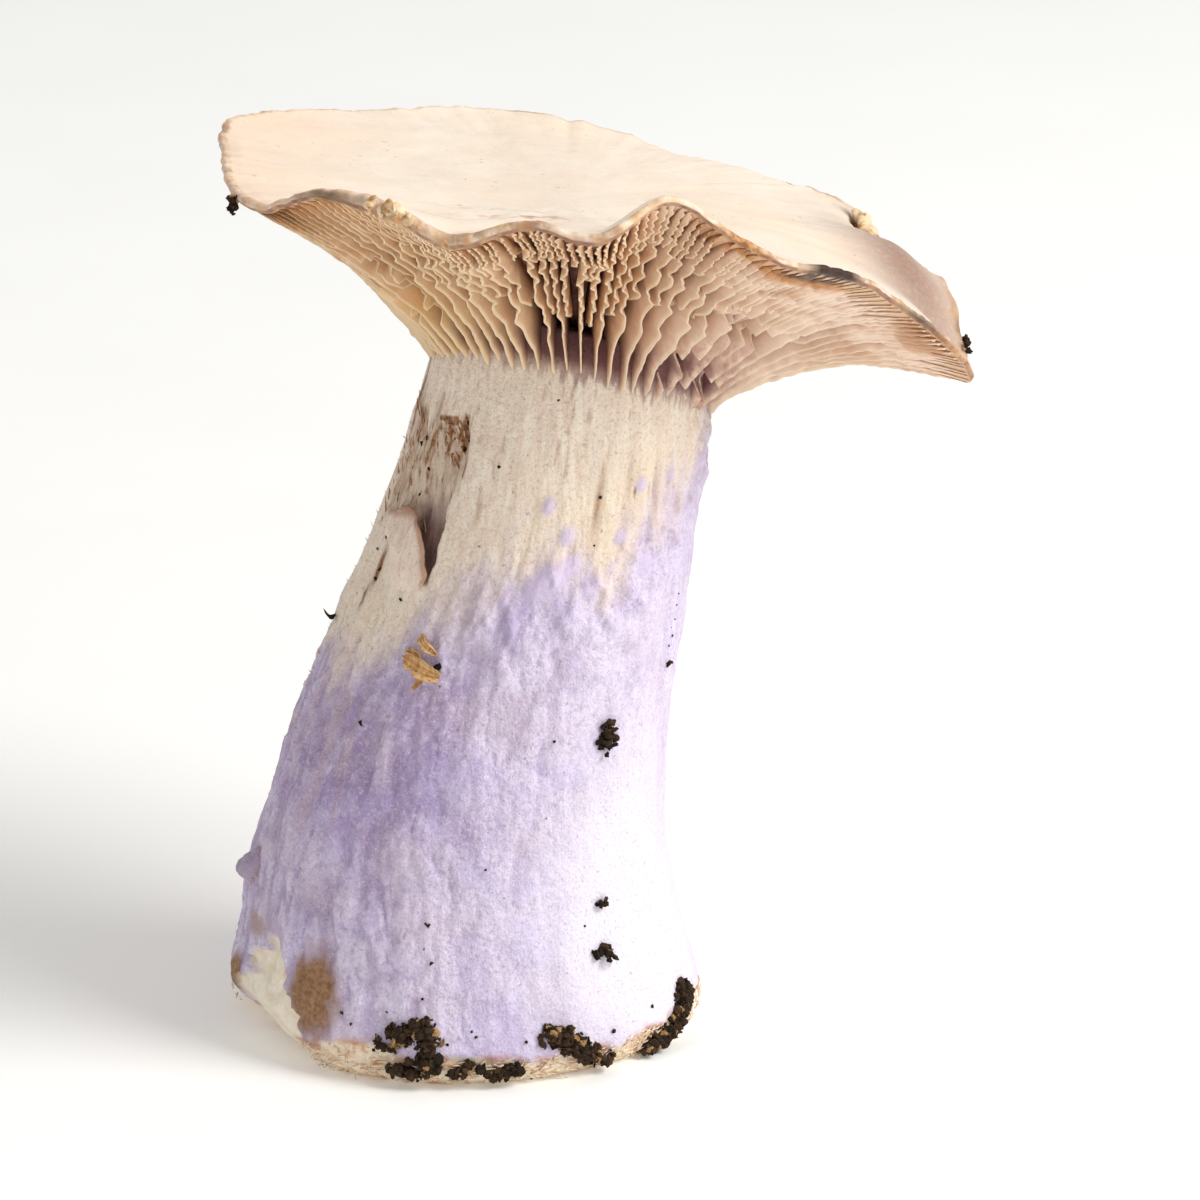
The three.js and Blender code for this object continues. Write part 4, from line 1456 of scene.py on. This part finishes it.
# %% Straw flakes
def make_flake(name, place, turn, size, curl, seed):
    """A splinter of straw: a small sheet with ragged ends, curled along its length, lying on the
    stem at place (angle, height), turned by turn degrees from upright."""
    v = np.linspace(-1, 1, 34)[:, None]
    u = np.linspace(-1, 1, 22)[None, :]
    wave = cloudy(together(u * 2 + seed, v * 3, 0), seed)
    width = size[0] / 2 * (1 - 0.45 * np.abs(v) ** 3) * (1 + 0.25 * wave)
    torn = np.sin(5 * u + seed) + 0.6 * np.sin(13 * u + 2 * seed)
    along = size[1] / 2 * (v + 0.13 * torn * np.abs(v) ** 4)
    ridges = 0.10 * size[0] * np.abs(np.sin(4.5 * u + 0.6 * v + seed))
    bow = curl * (1 - np.cos(u * 1.25)) + 0.22 * np.sin(2.2 * v + seed) + 0.12 * wave + ridges
    side, rise = width * u * cos(turn) + along * sin(turn), along * cos(turn) - width * u * sin(turn)
    angle, height = place[0] + np.degrees(side / STEM_RADIUS), place[1] + rise
    out = 0.55 + bow
    front, back = stem_point(height, angle, out), stem_point(height, angle, out - 0.16)
    return make_sheet(name, front, back, {"ridge": np.abs(np.sin(4.5 * u + 0.6 * v + seed))})


def straw_finish():
    straw = Finish("dry_straw", 0.55, Specular_IOR_Level=0.35)
    streak = straw.noise(0.35, 4, straw.stretch((1, 1, 0.25)))
    colour = straw.ramp(streak, 0.3, 0.7, (236, 198, 142), (200, 146, 86))
    colour = straw.coats(
        colour,
        (straw.noise(0.6, 4), 0.6, 0.72, (120, 76, 44), 0.8),
        # painted shade in the creases between the ridges
        (straw.mark("ridge"), 0.35, 0.0, (134, 88, 48), 0.6),
    )
    return straw.done(colour, straw.bump(straw.mark("ridge"), 0.05))


straw = straw_finish()
dress(make_flake("straw_thin", (241.8, 41.4), -58, (0.75, 2.5), 0.3, 121), straw, "straw", "straw_flake_thin")
dress(make_flake("straw_wide", (242.3, 39.4), -74, (1.4, 4.3), 0.5, 122), straw, "straw", "straw_flake_wide")
dress(make_flake("straw_splinter", (244.0, 38.3), 24, (0.6, 2.0), 0.25, 123), straw, "straw")
dress(make_flake("straw_chip", (239.0, 40.2), -60, (0.8, 1.9), 0.25, 124), straw, "straw")

# %% Specks
# angle, height, half size of the dark specks
SPECKS = np.array([
    [266, 64.1, 0.16], [248, 57.8, 0.18], [214, 56.1, 0.25], [232, 59.6, 0.2], [224, 44.6, 0.24],
    [338, 36.9, 0.5], [338, 39.5, 0.14], [339, 41.0, 0.12], [338.5, 42.4, 0.1], [337, 38.6, 0.12],
    [336.5, 40.4, 0.1], [339.5, 43.4, 0.1], [263, 15.7, 0.2], [264, 12.1, 0.24], [241, 6.5, 0.18],
    [244, 5.7, 0.14], [253, 7.2, 0.16], [262, 8.7, 0.2], [274, 5.8, 0.2], [275, 5.3, 0.22],
    [326, 4.7, 0.24], [247.4, 39.5, 0.42], [246.6, 39.0, 0.3], [291, 32.5, 0.16], [307, 14.1, 0.14],
    [250, 37.7, 0.14], [293, 25.2, 0.12], [277, 20.8, 0.16], [283, 18.0, 0.12], [262, 13.4, 0.1],
    [248, 50.5, 0.12],
    [289, 55.0, 0.2], [290, 50.6, 0.14], [199, 47.5, 0.22], [203, 49.0, 0.18], [196, 52.5, 0.2],
    [206, 58.5, 0.24], [212, 53.5, 0.18], [228, 61.0, 0.3], [229.5, 58.6, 0.3], [206.5, 46.2, 0.3],
    [206.2, 45.2, 0.24], [250, 3.6, 0.2], [268, 4.6, 0.18], [287, 4.4, 0.2], [311, 3.8, 0.24],
    [60, 30, 0.3], [95, 12, 0.35], [130, 40, 0.25], [20, 20, 0.3],
])


def make_specks():
    """Three small grains close together for each speck."""
    random = np.random.default_rng(130)
    angle, height, size = SPECKS.repeat(3, axis=0).T
    nudge = random.normal(0, 0.35, (len(size), 2)).T * size
    angle, height = angle + 1.6 * nudge[0], height + 0.5 * nudge[1]
    size = size * random.uniform(0.4, 0.85, len(size))
    middles = stem_point(height, angle, stem_relief(height, angle) + 0.3 * size)
    return make_grains("dark_specks", middles, size, 131, 0.2)


dress(make_specks(), compost, "soil")

# %% Fibres on the stem
def stem_fibres(name, count, angles, heights, way, lengths, widths, sag, tint, seed):
    """Fibres that leave the stem's skin between two angles and two heights, along way, given as
    shares out of, round and up the stem."""
    random = np.random.default_rng(seed)
    angle, height = random.uniform(*angles, count), random.uniform(*heights, count)
    start = stem_point(height, angle, stem_relief(height, angle) - 0.05)
    spread = np.array(way) + random.normal(0, 0.35, (count, 3))
    ways = outwards(angle) * 0.25 * np.abs(spread[:, :1]) + sideways(angle) * spread[:, 1:2]
    ways[:, 2] += spread[:, 2]
    tints = np.clip(tint + random.normal(0, 0.25, count), 0, 1)
    start[:, 2] = np.maximum(start[:, 2], 0.4)
    return make_fibres(name, start, ways, random.uniform(*lengths, count), random.uniform(*widths, count),
                       sag, seed + 1, tints)


def fibre_finish():
    fibre = Finish("torn_fibres", 0.7, Specular_IOR_Level=0.25)
    colour = fibre.mix(fibre.mark("shade"), (250, 230, 202), (160, 104, 62))
    colour = fibre.tint(colour, fibre.span(fibre.noise(0.6, 3), 0.5, 0.7), (190, 150, 110), 0.4)
    return fibre.done(colour, fibre.bump(fibre.noise(0.2, 3), 0.03))


fibres = fibre_finish()
for seed, (name, count, angles, heights, way, lengths, widths, sag, tint) in enumerate((
    ("foot_fibres", 480, (228, 345), (0.3, 2.8), (0.0, 1.0, 0.3), (0.4, 1.2), (0.06, 0.14), 0.16, 0.2),
    ("foot_fibres_back", 260, (-15, 180), (0.3, 2.4), (0.0, 1.0, 0.3), (0.4, 1.2), (0.06, 0.14), 0.16, 0.2),
    ("torn_fibres_upper", 80, (184, 222), (49, 60), (0.0, 0.0, 1.8), (0.5, 1.7), (0.05, 0.12), 0.05, 0.7),
    ("scab_fibres", 46, (219, 230), (57.5, 61.2), (0.3, 0.2, -1.0), (0.4, 1.3), (0.1, 0.22), 0.1, 1.0),
    ("left_fuzz", 200, (165, 215), (22, 62), (1.2, 0.0, 0.9), (0.2, 0.5), (0.04, 0.08), 0.2, 0.35),
)):
    piece = stem_fibres(name, count, angles, heights, way, lengths, widths, sag, tint, 140 + 2 * seed)
    dress(piece, fibres, "mushroom_flesh", "mushroom")

# %% Needles and a rootlet
def make_needles():
    """Three short dark needles that lie on the skin."""
    angle, height = np.array([226.5, 203.0, 262.0]), np.array([33.3, 58.0, 15.9])
    start = stem_point(height, angle, stem_relief(height, angle) + 0.12)
    ways = sideways(angle) * 0.6 - [0, 0, 0.9]
    lengths, widths, tints = np.array([[1.2, 0.8, 0.6], [0.3, 0.2, 0.16], [0.1, 0.2, 0.2]])
    return make_fibres("needles", start, ways, lengths, widths, 0.03, 161, tints)


def make_rootlet():
    """A dark, thorn-like rootlet that curves up from the left of the stem."""
    t = np.linspace(0, 1, 24)[:, None]
    turn = np.arange(10)[None, :] * 36
    base = stem_point(np.array(39.8), np.array(184.0), 0.1)
    line = base + together(-1.15 * t**0.8, 0.2 * t, 1.5 * t**2 - 0.75 * t)
    radius = 0.3 * (1 - t) ** 0.8 * (1 + 0.2 * np.sin(9 * t)) * ease(t, 0, 0.02)
    ring = together(0.5 * cos(turn) + 0 * t, sin(turn) + 0 * t, 0.9 * cos(turn) + 0 * t)
    return round_grid("rootlet", (line + radius[..., None] * ring)[::-1], {"shade": 0.1})


dress(make_rootlet(), compost, "soil")
dress(make_needles(), compost, "soil")

# %% [markdown]
# ## Floor, light and camera
# The mushroom stands on a plain white table under soft light from the upper right, with much light
# bounced back from the table. The table also glows with a painted light of its own, weaker near the
# foot, so its shadow is faint.

# %% Floor
FLOOR_HALF = 4.0
GLOW_NEAR, GLOW_FAR = 0.03, 0.4  # metres from the foot between which the table's own light grows


def make_floor():
    mesh = bpy.data.meshes.new("floor")
    corners = [(-1, -1, 0), (1, -1, 0), (1, 1, 0), (-1, 1, 0)]
    mesh.from_pydata([[FLOOR_HALF * x for x in corner] for corner in corners], [], [(0, 1, 2, 3)])
    floor = bpy.data.objects.new("floor", mesh)
    bpy.context.scene.collection.objects.link(floor)
    table = Finish("table_top", 0.7, Specular_IOR_Level=0.1, Emission_Strength=0.17)
    away = table.add("VectorMath", operation="LENGTH")
    table.feed(away.inputs[0], table.place)
    # painted light: the table glows, less near the foot and fully from 0.4 m away
    glow = table.ramp(away.outputs["Value"], GLOW_NEAR, GLOW_FAR, (222, 219, 214), (255, 254, 252))
    table.feed(table.shader.inputs["Emission Color"], glow)
    white = table.ramp(table.noise(40, 2), 0.3, 0.7, (250, 250, 248), (248, 248, 246))
    mesh.materials.append(table.done(white))
    print("floor", 2 * FLOOR_HALF, "m wide")


make_floor()

# %% Lights
WINDOW_PLACE, WINDOW_TARGET = Vector((0.60, -0.22, 0.58)), Vector((0.01, 0, 0.04))
WINDOW_WIDTH, WINDOW_POWER, WINDOW_COLOUR = 0.42, 5.7, (1.0, 0.99, 0.97)
SKY_STRENGTH = 0.54

window = bpy.data.objects.new("window", bpy.data.lights.new("window", "AREA"))
bpy.context.scene.collection.objects.link(window)
window.data.shape = "DISK"
window.data.size = WINDOW_WIDTH
window.data.energy = WINDOW_POWER
window.data.color = WINDOW_COLOUR
window.location = WINDOW_PLACE
window.rotation_euler = (WINDOW_TARGET - WINDOW_PLACE).to_track_quat("-Z", "Y").to_euler()

sky = bpy.data.worlds.new("studio")
sky.use_nodes = True
sky.node_tree.nodes["Background"].inputs["Color"].default_value = (1.0, 1.0, 1.0, 1.0)
sky.node_tree.nodes["Background"].inputs["Strength"].default_value = SKY_STRENGTH
bpy.context.scene.world = sky
bpy.context.scene.view_settings.view_transform = "Standard"
print("window of", WINDOW_POWER, "W, sky of strength", SKY_STRENGTH)

# %% Camera
CAMERA_TARGET = Vector((13, 0, 41)) * MM
CAMERA_DISTANCE, CAMERA_ELEVATION = 560 * MM, math.radians(18)
CAMERA_LENS, CAMERA_SENSOR, CAMERA_NEAR = 180, 36, 0.01

camera = bpy.data.objects.new("camera", bpy.data.cameras.new("camera"))
bpy.context.scene.collection.objects.link(camera)
camera.data.lens = CAMERA_LENS
camera.data.sensor_width = CAMERA_SENSOR
camera.data.clip_start = CAMERA_NEAR
back = Vector((0, -math.cos(CAMERA_ELEVATION), math.sin(CAMERA_ELEVATION)))
camera.location = CAMERA_TARGET + back * CAMERA_DISTANCE
camera.rotation_euler = back.to_track_quat("Z", "Y").to_euler()
bpy.context.scene.camera = camera
print("camera at", [round(x, 3) for x in camera.location])

# %% [markdown]
# ## Last checks
# The finished pieces have to fill the same box as the frame they stand for. Every part of the frame
# that a piece stands for should be hidden by now, and any part still shown is printed.

# %% Finish
for name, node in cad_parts.items():
    if not node.hide_render:
        print("still shown:", name)
